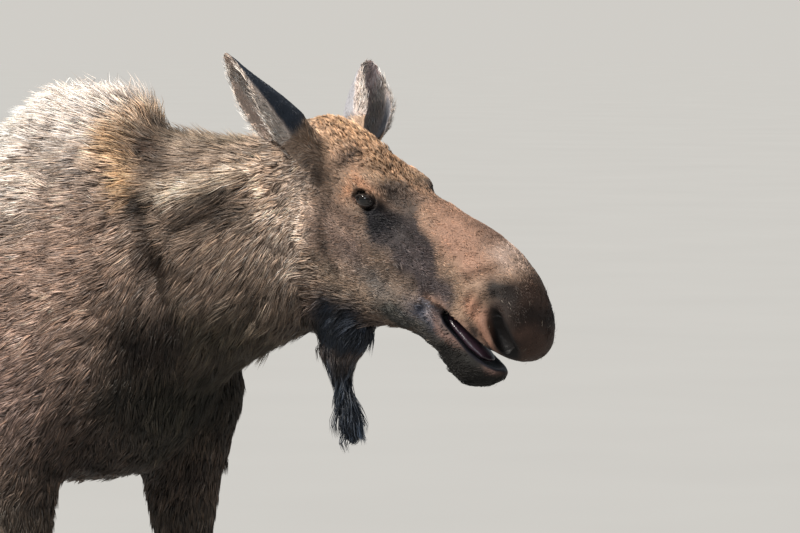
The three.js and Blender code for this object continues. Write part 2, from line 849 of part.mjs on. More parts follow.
// The neck ends at the shoulders
const shoulders = part( nape.rest, WITHERS, SHOULDER_SLOPE );
add( 'neck', geometryOf( shoulders.piece ), coat );

// The tail leaves the rump at a sloping cut
const tailReach = block( new THREE.Vector3( - 1700, - 46, 1340 ), new THREE.Vector3( - 1500, 46, 1540 ) );
const tail = part( shoulders.rest, TAIL_ROOT, TAIL_SLOPE, tailReach );
add( 'tail', geometryOf( tail.piece ), coat );
add( 'trunk', geometryOf( tail.rest ), coat );

// The frame's origin is on the floor, under the middle of the whole animal
moose.updateMatrixWorld( true );
const bounds = new THREE.Box3().setFromObject( moose, true );
const middle = bounds.getCenter( new THREE.Vector3() );
moose.position.set( - middle.x, - middle.y, - bounds.min.z );

export default moose;
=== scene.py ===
import json
import logging
import math
import time
from dataclasses import dataclass, field
from enum import Enum

import bmesh
import bpy
import numpy as np
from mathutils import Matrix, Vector
from mathutils.bvhtree import BVHTree
from mathutils.kdtree import KDTree

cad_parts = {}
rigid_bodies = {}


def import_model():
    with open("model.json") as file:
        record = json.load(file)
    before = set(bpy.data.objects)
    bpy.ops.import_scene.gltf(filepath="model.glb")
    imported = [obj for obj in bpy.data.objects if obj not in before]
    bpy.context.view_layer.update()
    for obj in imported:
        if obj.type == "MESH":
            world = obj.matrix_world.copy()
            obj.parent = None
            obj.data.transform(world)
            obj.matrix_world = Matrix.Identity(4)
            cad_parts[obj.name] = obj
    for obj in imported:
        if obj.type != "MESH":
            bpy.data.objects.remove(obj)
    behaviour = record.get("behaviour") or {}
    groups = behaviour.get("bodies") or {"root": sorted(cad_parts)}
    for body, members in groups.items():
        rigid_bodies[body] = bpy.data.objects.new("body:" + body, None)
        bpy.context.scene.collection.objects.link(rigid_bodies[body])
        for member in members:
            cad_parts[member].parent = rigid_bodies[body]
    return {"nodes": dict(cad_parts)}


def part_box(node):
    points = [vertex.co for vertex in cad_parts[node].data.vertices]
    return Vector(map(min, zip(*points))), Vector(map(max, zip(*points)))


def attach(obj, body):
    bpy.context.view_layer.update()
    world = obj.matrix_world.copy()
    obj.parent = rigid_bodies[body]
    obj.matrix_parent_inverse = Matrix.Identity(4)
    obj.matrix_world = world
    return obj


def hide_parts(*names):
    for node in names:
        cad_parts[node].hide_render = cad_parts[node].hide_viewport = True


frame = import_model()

# A cow moose at life size. One hide replaces the solids of flesh and lies inside them by
# the depth of the coat. The coat is solid locks of hair that start on the hide and follow
# its lie. Metres, +Z up, +X forward and +Y to the animal's left.

LOG = logging.getLogger("moose")
ROOT_BODY = "root"
SEED = 20417
CALM_BEHIND = -0.05  # the coat is more even behind this, on the scene's X

Array = np.ndarray
Triple = tuple[float, float, float]
Chance = np.random.Generator
Socket = bpy.types.NodeSocket


# Small sums and shapes that several pieces share


def linear(red: float, green: float, blue: float) -> Array:
    """Scene-linear colour of one given from 0 to 255."""
    c = np.array([red, green, blue], float) / 255
    return np.where(c <= 0.04045, c / 12.92, ((c + 0.055) / 1.055) ** 2.4)


def rgba(colour: Array) -> tuple[float, float, float, float]:
    """A colour as a shader socket takes it."""
    return (float(colour[0]), float(colour[1]), float(colour[2]), 1.0)


def ease(low: float, high: float, values: Array) -> Array:
    """Smooth step from 0 at low to 1 at high."""
    t = np.clip((values - low) / (high - low), 0, 1)
    return t * t * (3 - 2 * t)


def unit(vectors: Array) -> Array:
    """Each row at length 1."""
    return vectors / np.maximum(np.linalg.norm(vectors, axis=-1, keepdims=True), 1e-12)


def along_surface(directions: Array, normals: Array) -> Array:
    """The part of each direction that lies in the surface, at length 1."""
    lift = (directions * normals).sum(axis=1, keepdims=True)
    return unit(directions - normals * lift)


def ripple(points: Array, size: float, seed: int, waves: int = 7) -> Array:
    """Smooth noise from about -1 to 1 with features of the given size.

    Args:
        points: One row for each point.
        size: How far apart the features are.
        seed: Picks the pattern.
        waves: How many waves are added up.

    Returns:
        One value for each point.
    """
    rng = np.random.default_rng(seed)
    total = np.zeros(len(points))
    for _ in range(waves):
        way = unit(rng.normal(size=3)) * (2 * math.pi / size) * rng.uniform(0.6, 1.5)
        total += np.sin(points @ way + rng.uniform(0, 2 * math.pi))
    return total / math.sqrt(waves)


def settle(obj: bpy.types.Object) -> None:
    """Applies the object's modifiers to its mesh."""
    graph = bpy.context.evaluated_depsgraph_get()
    made = bpy.data.meshes.new_from_object(obj.evaluated_get(graph), depsgraph=graph)
    obj.modifiers.clear()
    old = obj.data
    obj.data = made
    bpy.data.meshes.remove(old)


def read_rows(items: bpy.types.bpy_prop_collection, name: str, width: int) -> Array:
    """A property of a mesh's points, edges or faces.

    Args:
        items: The points, edges or faces.
        name: The property.
        width: How many values each of them has.

    Returns:
        One row for each.
    """
    kind = np.int32 if name == "vertices" else np.float32
    flat = np.empty(len(items) * width, kind)
    items.foreach_get(name, flat)
    return flat.reshape(-1, width)


def new_piece(name: str, data: bpy.types.ID) -> bpy.types.Object:
    """Puts a mesh, a camera or a lamp in the scene as an object at the origin.

    Args:
        name: What the object is called.
        data: What it shows.

    Returns:
        The object.
    """
    obj = bpy.data.objects.new(name, data)
    bpy.context.scene.collection.objects.link(obj)
    return obj


def piece_of(name: str, shape: bmesh.types.BMesh) -> bpy.types.Object:
    """Turns a shape into an object at the origin.

    Args:
        name: What its mesh and the object are called.
        shape: The shape, which is freed.

    Returns:
        The object.
    """
    mesh = bpy.data.meshes.new(name)
    shape.to_mesh(mesh)
    shape.free()
    return new_piece(name, mesh)


def even_net(obj: bpy.types.Object, voxel: float) -> None:
    """Remakes a closed mesh as one even net.

    Args:
        obj: The object that carries it.
        voxel: How fine the net is.
    """
    remesh = obj.modifiers.new("net", "REMESH")
    remesh.mode = "VOXEL"
    remesh.voxel_size = voxel
    settle(obj)


def tree_of(mesh: bpy.types.Mesh) -> BVHTree:
    """A mesh as a tree that finds its nearest places."""
    return BVHTree.FromPolygons(
        [v.co for v in mesh.vertices], [p.vertices[:] for p in mesh.polygons]
    )


def write_pelt_and_shade(mesh: bpy.types.Mesh, colour: Array) -> None:
    """Writes the hair's colours, with their painted shade, into a mesh.

    Args:
        mesh: The mesh.
        colour: One row for each of its points.
    """
    colour = np.concatenate([colour, np.ones((len(colour), 1))], axis=1)
    pelt = mesh.color_attributes.new("pelt", "FLOAT_COLOR", "POINT")
    pelt.data.foreach_set("color", colour.astype(np.float32).ravel())


def merged_copy(node: str, grow: float = 0.0) -> bmesh.types.BMesh:
    """A closed copy of a solid, swollen by a hair so that neighbours meet.

    Args:
        node: The solid's name.
        grow: How far its surface moves out.

    Returns:
        The copy, which the caller frees.
    """
    shape = bmesh.new()
    shape.from_mesh(frame["nodes"][node].data)
    bmesh.ops.remove_doubles(shape, verts=shape.verts, dist=1e-5)
    shape.normal_update()
    for vert in shape.verts:
        vert.co += vert.normal * grow
    return shape


class Surface:
    """A mesh's points, edges and normals as arrays."""

    def __init__(self, mesh: bpy.types.Mesh) -> None:
        """Reads the mesh."""
        self.mesh = mesh
        self.points = read_rows(mesh.vertices, "co", 3).astype(float)
        self.ends = read_rows(mesh.edges, "vertices", 2)
        met = np.bincount(self.ends.ravel(), minlength=len(self.points))
        self.degree = np.maximum(met, 1).astype(float)

    def store(self) -> None:
        """Writes the points back to the mesh."""
        self.mesh.vertices.foreach_set("co", self.points.astype(np.float32).ravel())
        self.mesh.update()

    def normals(self) -> Array:
        """The mesh's own normal at each point."""
        self.store()
        return read_rows(self.mesh.vertex_normals, "vector", 3).astype(float)

    def blur(self, values: Array, rounds: int, share: float | Array) -> Array:
        """Values that drift towards the mean of their neighbours.

        Args:
            values: One row for each point.
            rounds: How many times each point looks at its neighbours.
            share: How far it goes towards their mean each time, for all or for each.

        Returns:
            The blurred rows.
        """
        flat = values.reshape(len(values), -1).astype(float).copy()
        one, other = self.ends[:, 0], self.ends[:, 1]
        count = len(flat)
        pull = np.broadcast_to(np.asarray(share, float), (count,))
        for _ in range(rounds):
            for column in range(flat.shape[1]):
                at = flat[:, column]
                total = np.bincount(one, at[other], count)
                total += np.bincount(other, at[one], count)
                at += pull * (total / self.degree - at)
        return flat.reshape(values.shape)


# Where things are on the animal


class Part(Enum):
    """The kinds of solid that the hide covers."""

    TRUNK = "trunk"
    NECK = "neck"
    HEAD = "head"
    JAW = "lower_jaw"
    EAR = "ear"
    BELL = "bell"
    TAIL = "tail"
    FORELEG = "foreleg"
    HINDLEG = "hindleg"


PARTS = list(Part)


class Axes(Enum):
    """Which axes a place is given in."""

    BODY = "body"
    HEAD = "head"


@dataclass(frozen=True)
class Bearings:
    """The body's axes start on the floor under the hump, the head's at the poll."""

    hump: Array
    poll: Array
    turn: Array

    RUMP_TO_HUMP = 1.559
    EYE_AHEAD = 0.212
    EYE_BELOW = 0.047
    NOSE_DOWN = math.radians(36)

    @classmethod
    def find(cls) -> "Bearings":
        """Works the axes out from the solids' boxes."""
        rump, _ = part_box("trunk")
        left, right = (cls.middle(f"eye_{side}") for side in ("left", "right"))
        across = unit(left - right)
        level = np.array([across[1], -across[0], 0.0])
        along = level * math.cos(cls.NOSE_DOWN) - np.array([0, 0, math.sin(cls.NOSE_DOWN)])
        out = np.cross(along, across)
        poll = (left + right) / 2 - cls.EYE_AHEAD * along + cls.EYE_BELOW * out
        hump = np.array([rump.x + cls.RUMP_TO_HUMP, 0.0, 0.0])
        return cls(hump, poll, np.stack([along, across, out]))

    @staticmethod
    def middle(node: str) -> Array:
        """The middle of a solid's box."""
        low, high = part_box(node)
        return (np.array(low) + np.array(high)) / 2

    def head_way(self, directions: Array) -> Array:
        """Directions in the head's axes as directions of the scene."""
        return np.asarray(directions, float) @ self.turn


class Places:
    """Where points lie in both sets of axes, with the right side folded over the left."""

    def __init__(self, bearings: Bearings, points: Array) -> None:
        """Reads the points once for every table that asks."""
        self.bearings = bearings
        self.points = points
        body = points - bearings.hump
        head = (points - bearings.poll) @ bearings.turn.T
        self.open = {Axes.BODY: body, Axes.HEAD: head}
        self.side = {axes: np.where(p[:, 1] < 0, -1.0, 1.0) for axes, p in self.open.items()}
        self.folded = {
            axes: np.stack([p[:, 0], np.abs(p[:, 1]), p[:, 2]], axis=1)
            for axes, p in self.open.items()
        }

    def ways(self, axes: Axes, direction: Triple) -> Array:
        """A direction given for the left side, as it is at each point.

        Args:
            axes: The axes that it is given in.
            direction: Ahead, outward and up.

        Returns:
            One direction of the scene for each point.
        """
        ways = np.tile(np.asarray(direction, float), (len(self.points), 1))
        ways[:, 1] *= self.side[axes]
        return self.bearings.head_way(ways) if axes is Axes.HEAD else ways


@dataclass(frozen=True)
class Spot:
    """A soft round region, on both sides of the animal."""

    axes: Axes
    place: Triple
    reach: Triple

    def share(self, places: Places) -> Array:
        """How much each point belongs to it, from 0 to 1."""
        away = (places.folded[self.axes] - np.array(self.place)) / np.array(self.reach)
        return np.exp(-(away**2).sum(axis=1))


@dataclass(frozen=True)
class Band:
    """A soft strip between two places, on both sides of the animal."""

    axes: Axes
    start: Triple
    end: Triple
    width: float
    across: float = 0.35  # how much a step sideways counts

    def share(self, places: Places) -> Array:
        """How much each point belongs to it, from 0 to 1."""
        flat = np.array([1.0, self.across, 1.0])
        here = (places.folded[self.axes] - np.array(self.start)) * flat
        run = (np.array(self.end) - np.array(self.start)) * flat
        along = np.clip(here @ run / (run @ run), 0, 1)
        away = np.linalg.norm(here - along[:, None] * run, axis=1)
        return np.exp(-((away / self.width) ** 2))


def region(axes: Axes, place: tuple) -> Spot | Band:
    """A spot or a strip from a row of a table.

    Args:
        axes: The axes that the row is in.
        place: A middle with one reach or three, or two ends with a width and, where it
            differs, how much a step sideways counts.

    Returns:
        The spot or the strip.
    """
    if isinstance(place[0], tuple):
        return Band(axes, *place)
    reach = place[3:] if len(place) == 6 else place[3:] * 3
    return Spot(axes, place[:3], reach)


def on_body(*place: float) -> Spot:
    """A spot in the body's axes: its middle, and one reach or three."""
    return region(Axes.BODY, place)


def on_head(*place: float) -> Spot:
    """A spot in the head's axes: its middle, and one reach or three."""
    return region(Axes.HEAD, place)


class Flesh:
    """The solids that the hide replaces, and which of them a point is nearest to."""

    def __init__(self) -> None:
        """Joins the solids' triangles in one tree."""
        self.names = [n for n in sorted(frame["nodes"]) if self.part_of(n) is not None]
        corners: list[Vector] = []
        faces: list[list[int]] = []
        self.face_part: list[int] = []
        for name in self.names:
            mesh = frame["nodes"][name].data
            start = len(corners)
            corners.extend(v.co.copy() for v in mesh.vertices)
            faces.extend([start + i for i in p.vertices] for p in mesh.polygons)
            self.face_part.extend([PARTS.index(self.part_of(name))] * len(mesh.polygons))
        self.tree = BVHTree.FromPolygons(corners, faces)

    @staticmethod
    def part_of(name: str) -> Part | None:
        """The kind of solid, or None for a claw, an eye or the tongue."""
        if "claw" in name or "eye" in name:
            return None
        return next((part for part in PARTS if name.startswith(part.value)), None)

    def shares(self, surface: Surface, rounds: int) -> Array:
        """How much each point belongs to each part, blurred where parts meet.

        Args:
            surface: The hide.
            rounds: How far the parts run into each other.

        Returns:
            A row for each point with a column for each part.
        """
        find = self.tree.find_nearest
        near = np.array([self.face_part[find(p)[2]] for p in surface.points.tolist()])
        table = (near[:, None] == np.arange(len(PARTS))[None, :]).astype(float)
        return surface.blur(table, rounds, 0.6)


# How the coat grows


@dataclass(frozen=True)
class Growth:
    """How the hair grows at a spot. What is None stays as it is around the spot."""

    spot: Spot | Band | None
    depth: float | None = None  # how far the hide lies under the coat's outline
    length: float | None = None
    lift: float | None = None  # angle from the hide, in radians
    width: float | None = None
    crowd: float | None = None  # locks on each square metre
    stray: float | None = None  # how much the locks differ in direction
    clump: float | None = None  # how far their tips draw together
    curl: float | None = None  # how far they wave sideways, in widths


TRAITS = ("depth", "length", "lift", "width", "crowd", "stray", "clump", "curl")

PART_GROWTH = {
    Part.TRUNK: Growth(None, 0.014, 0.05, 0.23, 0.0028, 26000, 0.2, 0.42, 0.3),
    Part.NECK: Growth(None, 0.016, 0.054, 0.23, 0.0015, 88000, 0.2, 0.36, 0.5),
    Part.HEAD: Growth(None, 0.0035, 0.012, 0.2, 0.0014, 88000, 0.2, 0.3, 0.3),
    Part.JAW: Growth(None, 0.0035, 0.011, 0.24, 0.0014, 80000, 0.25, 0.26, 0.3),
    Part.EAR: Growth(None, 0.0014, 0.0085, 0.13, 0.0012, 80000, 0.15, 0.15, 0.2),
    Part.BELL: Growth(None, 0.005, 0.07, 0.3, 0.0018, 190000, 0.2, 0.4, 0.6),
    Part.TAIL: Growth(None, 0.008, 0.05, 0.2, 0.003, 26000, 0.16, 0.45, 0.3),
    Part.FORELEG: Growth(None, 0.0035, 0.019, 0.18, 0.0026, 30000, 0.16, 0.25, 0.2),
    Part.HINDLEG: Growth(None, 0.0035, 0.019, 0.18, 0.0027, 27000, 0.16, 0.25, 0.2),
}

GROWTH = [
    # shoulder and the front of the trunk
    Growth(on_body(0.06, 0.22, 1.42, 0.3, 0.25, 0.42), length=0.05, lift=0.2, width=0.0016,
        crowd=68000, clump=0.34),
    Growth(on_body(0.2, 0.16, 1.2, 0.16, 0.2, 0.2), depth=0.013, length=0.04, width=0.0022),
    # belly, brisket, flank and back
    Growth(on_body(-0.55, 0.0, 1.04, 0.6, 0.2, 0.1), depth=0.012, length=0.052, lift=0.3),
    Growth(on_body(-0.7, 0.0, 1.72, 0.45, 0.16, 0.1), depth=0.017, length=0.05, lift=0.3),
    Growth(on_body(0.1, 0.0, 1.06, 0.16, 0.12, 0.08), depth=0.016, length=0.06, lift=0.3),
    # hump and the crest of the neck
    Growth(on_body(-0.02, 0.0, 1.86, 0.26, 0.14, 0.15), depth=0.044, length=0.088, lift=0.9,
        width=0.0017, crowd=190000, stray=0.3, clump=0.34),
    Growth(on_body(0.13, 0.0, 1.84, 0.08, 0.09, 0.12), length=0.092, lift=1.15, width=0.0017,
        crowd=180000, stray=0.4),
    Growth(on_body(0.36, 0.0, 1.8, 0.24, 0.06, 0.07), depth=0.024, length=0.064, lift=0.8,
        width=0.0018, crowd=120000, stray=0.36, clump=0.4),
    # throat and the underside of the neck
    Growth(on_body(0.44, 0.03, 1.3, 0.2, 0.09, 0.12), depth=0.019, length=0.052, lift=0.3),
    # tuft above the bell, and the ruff at the back of the cheek
    Growth(on_head(0.29, 0.0, -0.28, 0.065, 0.07, 0.05), depth=0.008, length=0.075, lift=0.42,
        width=0.0018, crowd=130000, stray=0.3, clump=0.4),
    Growth(Band(Axes.HEAD, (0.04, 0.09, -0.1), (0.18, 0.082, -0.275), 0.03), depth=0.012,
        length=0.05, lift=0.4, width=0.0019, crowd=84000, stray=0.3),
    # crown, forehead and cheeks
    Growth(on_head(0.06, 0.0, 0.0, 0.12, 0.075, 0.045), depth=0.0095, length=0.022, lift=0.62,
        width=0.002, crowd=84000, stray=0.62, clump=0.5, curl=2.6),
    Growth(on_head(0.2, 0.0, 0.01, 0.1, 0.055, 0.035), depth=0.0065, length=0.0165, lift=0.5,
        width=0.0019, crowd=84000, stray=0.5, curl=1.9),
    Growth(on_head(0.03, 0.08, -0.14, 0.075, 0.06, 0.1), depth=0.0085, length=0.026, lift=0.3,
        width=0.0021, crowd=64000, stray=0.3, clump=0.4),
    Growth(on_head(0.12, 0.09, -0.16, 0.07, 0.05, 0.09), depth=0.005, length=0.017),
    Growth(on_head(0.16, 0.0, -0.27, 0.16, 0.08, 0.04), depth=0.008, length=0.026, lift=0.32),
    # bridge of the nose, muzzle and lips
    Growth(on_head(0.42, 0.03, 0.0, 0.14, 0.08, 0.07), depth=0.002, length=0.0088, lift=0.18,
        width=0.0012, crowd=96000),
    Growth(on_head(0.61, 0.03, -0.07, 0.085, 0.08, 0.085), depth=0.0014, length=0.005, lift=0.14,
        width=0.0012, crowd=60000, stray=0.16),
    Growth(on_head(0.5, 0.06, -0.115, 0.1, 0.045, 0.022), depth=0.0018, length=0.008, lift=0.2,
        width=0.0013, crowd=70000),
    Growth(on_head(0.5, 0.0, -0.235, 0.1, 0.06, 0.03), depth=0.003, length=0.012, lift=0.45),
    # base of the ears
    Growth(on_head(0.03, 0.095, -0.05, 0.05, 0.045, 0.045), depth=0.0045, length=0.022, lift=0.34),
    # upper legs, knees and pasterns
    Growth(on_body(0.1, 0.13, 1.05, 0.3, 0.2, 0.22), depth=0.01, length=0.034, width=0.0028),
    Growth(on_body(-1.25, 0.16, 1.1, 0.35, 0.24, 0.26), depth=0.01, length=0.036, width=0.0032),
    Growth(on_body(0.05, 0.13, 0.14, 0.3, 0.2, 0.07), depth=0.003, length=0.02, lift=0.24),
    Growth(on_body(-1.3, 0.13, 0.14, 0.3, 0.2, 0.07), depth=0.003, length=0.02, lift=0.24),
]


# The way that the hair points at each place: ahead, outward and up
BODY_LIE = (
    ((-1.45, 0.14, 1.4, 0.3), (-0.4, 0.0, -1.0)),
    ((-1.2, 0.0, 1.7, 0.3), (-1.0, 0.2, -0.3)),
    ((-0.7, 0.0, 1.72, 0.35), (-1.0, 0.1, 0.0)),
    ((-0.7, 0.28, 1.45, 0.3), (-1.0, 0.0, -0.4)),
    ((-1.0, 0.26, 1.25, 0.2), (-0.7, 0.0, -0.8)),
    ((-0.35, 0.27, 1.4, 0.3), (-1.0, 0.0, -0.36)),
    ((-0.5, 0.08, 1.03, 0.3), (-1.0, 0.0, -0.2)),
    ((-0.02, 0.22, 1.52, 0.22), (-1.0, 0.0, -0.22)),
    ((0.0, 0.24, 1.32, 0.2), (-1.0, 0.0, -0.45)),
    ((0.06, 0.22, 1.14, 0.16), (-0.6, 0.0, -0.8)),
    ((0.27, 0.17, 1.36, 0.12), (-0.25, 0.0, -1.0)),
    ((0.3, 0.0, 1.2, 0.16), (0.0, 0.0, -1.0)),
    ((0.52, 0.06, 1.7, 0.1), (-1.0, 0.0, -0.15)),
    ((0.6, 0.05, 1.58, 0.06), (-0.35, 0.0, -1.0)),
    ((0.6, 0.04, 1.48, 0.06), (-0.25, 0.0, -1.0)),
    ((0.36, 0.11, 1.66, 0.13), (-1.0, 0.0, -0.32)),
    ((0.44, 0.12, 1.53, 0.12), (-0.8, 0.0, -0.6)),
    ((0.42, 0.1, 1.38, 0.14), (-0.55, 0.0, -0.85)),
    ((0.36, 0.0, 1.8, 0.08), (-1.0, 0.0, 0.1)),
    ((0.2, 0.08, 1.74, 0.11), (-1.0, 0.0, 0.1)),
    ((0.0, 0.0, 1.9, 0.16), (-1.0, 0.0, 0.1)),
    ((-0.04, 0.13, 1.72, 0.14), (-1.0, 0.0, -0.1)),
    ((0.1, 0.13, 0.85, 0.26), (-0.15, 0.0, -1.0)),
    ((-1.22, 0.2, 1.05, 0.26), (-0.25, 0.0, -1.0)),
)

HEAD_LIE = (
    ((0.02, 0.0, 0.0, 0.08), (-1.0, 0.1, 0.2)),
    ((0.16, 0.0, 0.01, 0.09), (-1.0, 0.25, 0.2)),
    ((0.38, 0.0, 0.03, 0.12), (-1.0, 0.1, 0.0)),
    ((0.36, 0.06, -0.05, 0.08), (-1.0, 0.0, -0.35)),
    ((0.3, 0.08, -0.12, 0.08), (-1.0, 0.0, -0.3)),
    ((0.245, 0.08, -0.06, 0.02), (-0.6, 0.0, -0.8)),
    ((0.215, 0.08, -0.02, 0.028), (-0.9, 0.0, 0.35)),
    ((0.205, 0.09, -0.075, 0.03), (-1.0, 0.0, -0.2)),
    ((0.165, 0.08, -0.045, 0.03), (-1.0, 0.0, -0.15)),
    ((0.14, 0.09, -0.14, 0.07), (-0.9, 0.0, -0.45)),
    ((0.04, 0.09, -0.13, 0.06), (-0.15, 0.0, -1.0)),
    ((0.13, 0.09, -0.21, 0.05), (-0.05, 0.0, -1.0)),
    ((0.1, 0.07, -0.24, 0.08), (-0.95, 0.0, -0.35)),
    ((0.3, 0.05, -0.21, 0.08), (-1.0, 0.0, -0.25)),
    ((0.46, 0.06, -0.05, 0.07), (-0.9, 0.0, -0.55)),
    ((0.52, 0.06, -0.11, 0.06), (-0.35, 0.0, -1.0)),
    ((0.6, 0.0, -0.02, 0.06), (-0.8, 0.3, 0.4)),
    ((0.63, 0.03, -0.1, 0.05), (0.1, 0.0, -1.0)),
    ((0.5, 0.03, -0.2, 0.08), (-0.9, 0.0, -0.5)),
    ((0.3, 0.0, -0.28, 0.07), (0.59, 0.0, -0.81)),
)

@dataclass(frozen=True)
class Ear:
    """One ear: where it stands, points and opens, in the head's axes, and its colours, with light
    and shade painted in.
    """

    root: Triple
    along: Triple
    opening: Triple
    edge: tuple[float, float]  # how far a face turns to the opening where the inside begins
    back: tuple[float, float]  # how far across it, the back edge is coloured as the inside
    # depth: how strongly the hollow of the ear is painted with shade
    depth: float  # how dark its depth is
    outer: tuple[Triple, Triple]  # hair outside it, at the root and at the tip
    inner: tuple[Triple, Triple]

    LENGTH = 0.237
    INSIDE = (0.0, 0.5)  # how far a face turns to the opening where hair grows as inside
    RIM = (0.014, 0.032)
    HAIR = 0.016
    FRINGE = 0.012
    FOOT = (-0.05, 0.25)  # share of the length over which the outer colour comes in
    HOLLOW_SHADE_UP = (0.45, 0.0)
    HOLLOW_SHADE_ACROSS = (0.020, 0.008)


# The outsides of both ears are one hair, painted lit and shaded: pale grey as light on the left
# ear, dark slate blue as shade on the right one.
EARS = (
    Ear(
        (0.035, 0.095, -0.052), (-65, 68, 34), (0.43, 0.06, 0.91), (0.0, 0.5), (-1.0, -1.1), 0.5,
        ((84, 84, 90), (152, 151, 156)), ((140, 119, 117), (222, 198, 194)),
    ),
    Ear(
        (0.035, -0.095, -0.052), (-71, -56, 42), (0.08, -0.63, -0.68), (-0.10, 0.35),
        (-0.006, -0.020), 0.3, ((22, 26, 34), (46, 52, 62)), ((96, 82, 76), (214, 192, 178)),
    ),
)


@dataclass(frozen=True)
class Tint:
    """Colours of the hair at a spot, at its root and at its tip, from 0 to 255; the darker root is
    partly painted shade deep in the coat.
    """

    spot: Spot | Band | None
    root: Triple
    tip: Triple
    strength: float = 1.0  # over 1 gives the spot a flat middle


PART_TINT = {
    Part.TRUNK: Tint(None, (70, 56, 48), (168, 146, 131)),
    Part.NECK: Tint(None, (66, 53, 44), (168, 147, 131)),
    Part.HEAD: Tint(None, (92, 70, 56), (146, 124, 106)),
    Part.JAW: Tint(None, (40, 38, 37), (84, 79, 74)),
    Part.EAR: Tint(None, (74, 68, 68), (116, 106, 102)),
    # the bell's dark hair has the bluish cast of shade painted in
    Part.BELL: Tint(None, (21, 24, 30), (56, 63, 74)),
    Part.TAIL: Tint(None, (60, 48, 42), (124, 106, 94)),
    Part.FORELEG: Tint(None, (92, 82, 74), (158, 146, 132)),
    Part.HINDLEG: Tint(None, (92, 82, 74), (158, 146, 132)),
}

BODY_TINTS = (
    # back, flank, belly and rump
    ((-0.7, 0.06, 1.7, 0.62, 0.16, 0.12), (84, 70, 60), (200, 182, 166)),
    ((-0.5, 0.1, 1.05, 0.6, 0.18, 0.12), (54, 44, 38), (112, 98, 86)),
    ((-1.45, 0.1, 1.35, 0.14, 0.16, 0.24), (70, 60, 52), (158, 142, 126)),
    # shoulder, chest and elbow; the chest, brisket and elbow are dark hair darkened further as
    # painted shade under the body
    ((0.02, 0.22, 1.45, 0.24, 0.2, 0.22), (66, 50, 43), (192, 164, 148), 1.3),
    ((-0.04, 0.22, 1.24, 0.16, 0.2, 0.14), (60, 47, 42), (186, 158, 146)),
    ((0.25, 0.12, 1.23, 0.13, 0.18, 0.12), (23, 20, 17), (60, 52, 46), 1.3),
    ((0.22, 0.0, 1.12, 0.22, 0.12, 0.16), (26, 24, 20), (62, 58, 48)),
    ((0.1, 0.17, 1.08, 0.12, 0.16, 0.12), (26, 21, 19), (70, 58, 51), 1.3),
    # legs: brown above, pale grey below, darker in front of the hoofs
    ((0.08, 0.13, 0.86, 0.28, 0.2, 0.17), (34, 28, 24), (78, 67, 58), 1.3),
    ((-1.2, 0.2, 1.05, 0.32, 0.22, 0.22), (62, 52, 45), (128, 112, 99)),
    ((-0.5, 0.13, 0.08, 1.6, 0.2, 0.09), (70, 62, 56), (118, 108, 98)),
    # hump: silvery tips, golden in the middle, dark in front
    ((-0.04, 0.0, 1.84, 0.26, 0.18, 0.15), (92, 74, 66), (216, 204, 196), 1.4),
    (((0.14, 0.07, 1.728), (0.215, 0.12, 1.65), 0.038), (108, 80, 56), (208, 172, 134), 1.1),
    ((0.23, 0.06, 1.735, 0.062, 0.08, 0.044), (26, 20, 17), (68, 52, 45), 1.8),
    ((-0.2, 0.05, 1.78, 0.18, 0.14, 0.11), (126, 110, 102), (238, 226, 217), 1.2),
    ((-0.1, 0.15, 1.64, 0.09, 0.1, 0.075), (128, 110, 98), (236, 220, 208)),
    # the top of the back behind the hump: pale hair with painted light from above
    ((-0.19, 0.1, 1.745, 0.075, 0.1, 0.055), (172, 154, 142), (252, 242, 232)),
    # neck: pale crest, a pale ridge under it with painted shade in the furrow below, dark
    # underside
    ((0.4, 0.0, 1.78, 0.18, 0.08, 0.05), (56, 47, 38), (128, 115, 93), 1.3),
    ((0.5, 0.1, 1.66, 0.1, 0.08, 0.07), (66, 53, 45), (184, 162, 146)),
    (((0.53, 0.05, 1.692), (0.28, 0.12, 1.622), 0.019), (112, 94, 80), (226, 206, 186), 1.0),
    (((0.49, 0.08, 1.636), (0.36, 0.12, 1.578), 0.02), (26, 21, 18), (64, 54, 47), 1.3),
    ((0.575, 0.05, 1.61, 0.05, 0.08, 0.07), (128, 108, 94), (242, 222, 206), 1.2),
    ((0.512, 0.08, 1.55, 0.03, 0.08, 0.028), (98, 82, 70), (210, 188, 172), 0.9),
    ((0.6, 0.06, 1.71, 0.04, 0.06, 0.032), (106, 90, 78), (224, 206, 190)),
    ((0.56, 0.04, 1.748, 0.042, 0.06, 0.028), (118, 100, 90), (234, 216, 204)),
    ((0.43, 0.12, 1.45, 0.045, 0.08, 0.06), (72, 58, 50), (176, 154, 140), 0.9),
    ((0.42, 0.06, 1.38, 0.2, 0.14, 0.08), (38, 33, 28), (96, 86, 72)),
    ((0.42, 0.0, 1.26, 0.24, 0.1, 0.1), (24, 23, 18), (50, 48, 38)),
    # the furrow before the shoulder and the chest below it: darker hair with painted shade
    (((0.255, 0.13, 1.62), (0.29, 0.14, 1.49), 0.03), (18, 14, 12), (44, 36, 32), 1.6),
    (((0.29, 0.14, 1.49), (0.315, 0.13, 1.39), 0.036), (18, 14, 12), (44, 36, 32), 1.6),
    ((0.27, 0.15, 1.355, 0.08, 0.14, 0.05), (22, 18, 15), (54, 45, 40), 1.3),
    ((0.46, 0.09, 1.61, 0.06, 0.08, 0.026), (24, 19, 17), (56, 47, 42), 1.4),
    (((0.3, 0.14, 1.44), (0.24, 0.14, 1.56), 0.03), (84, 68, 58), (196, 172, 156), 0.8),
)

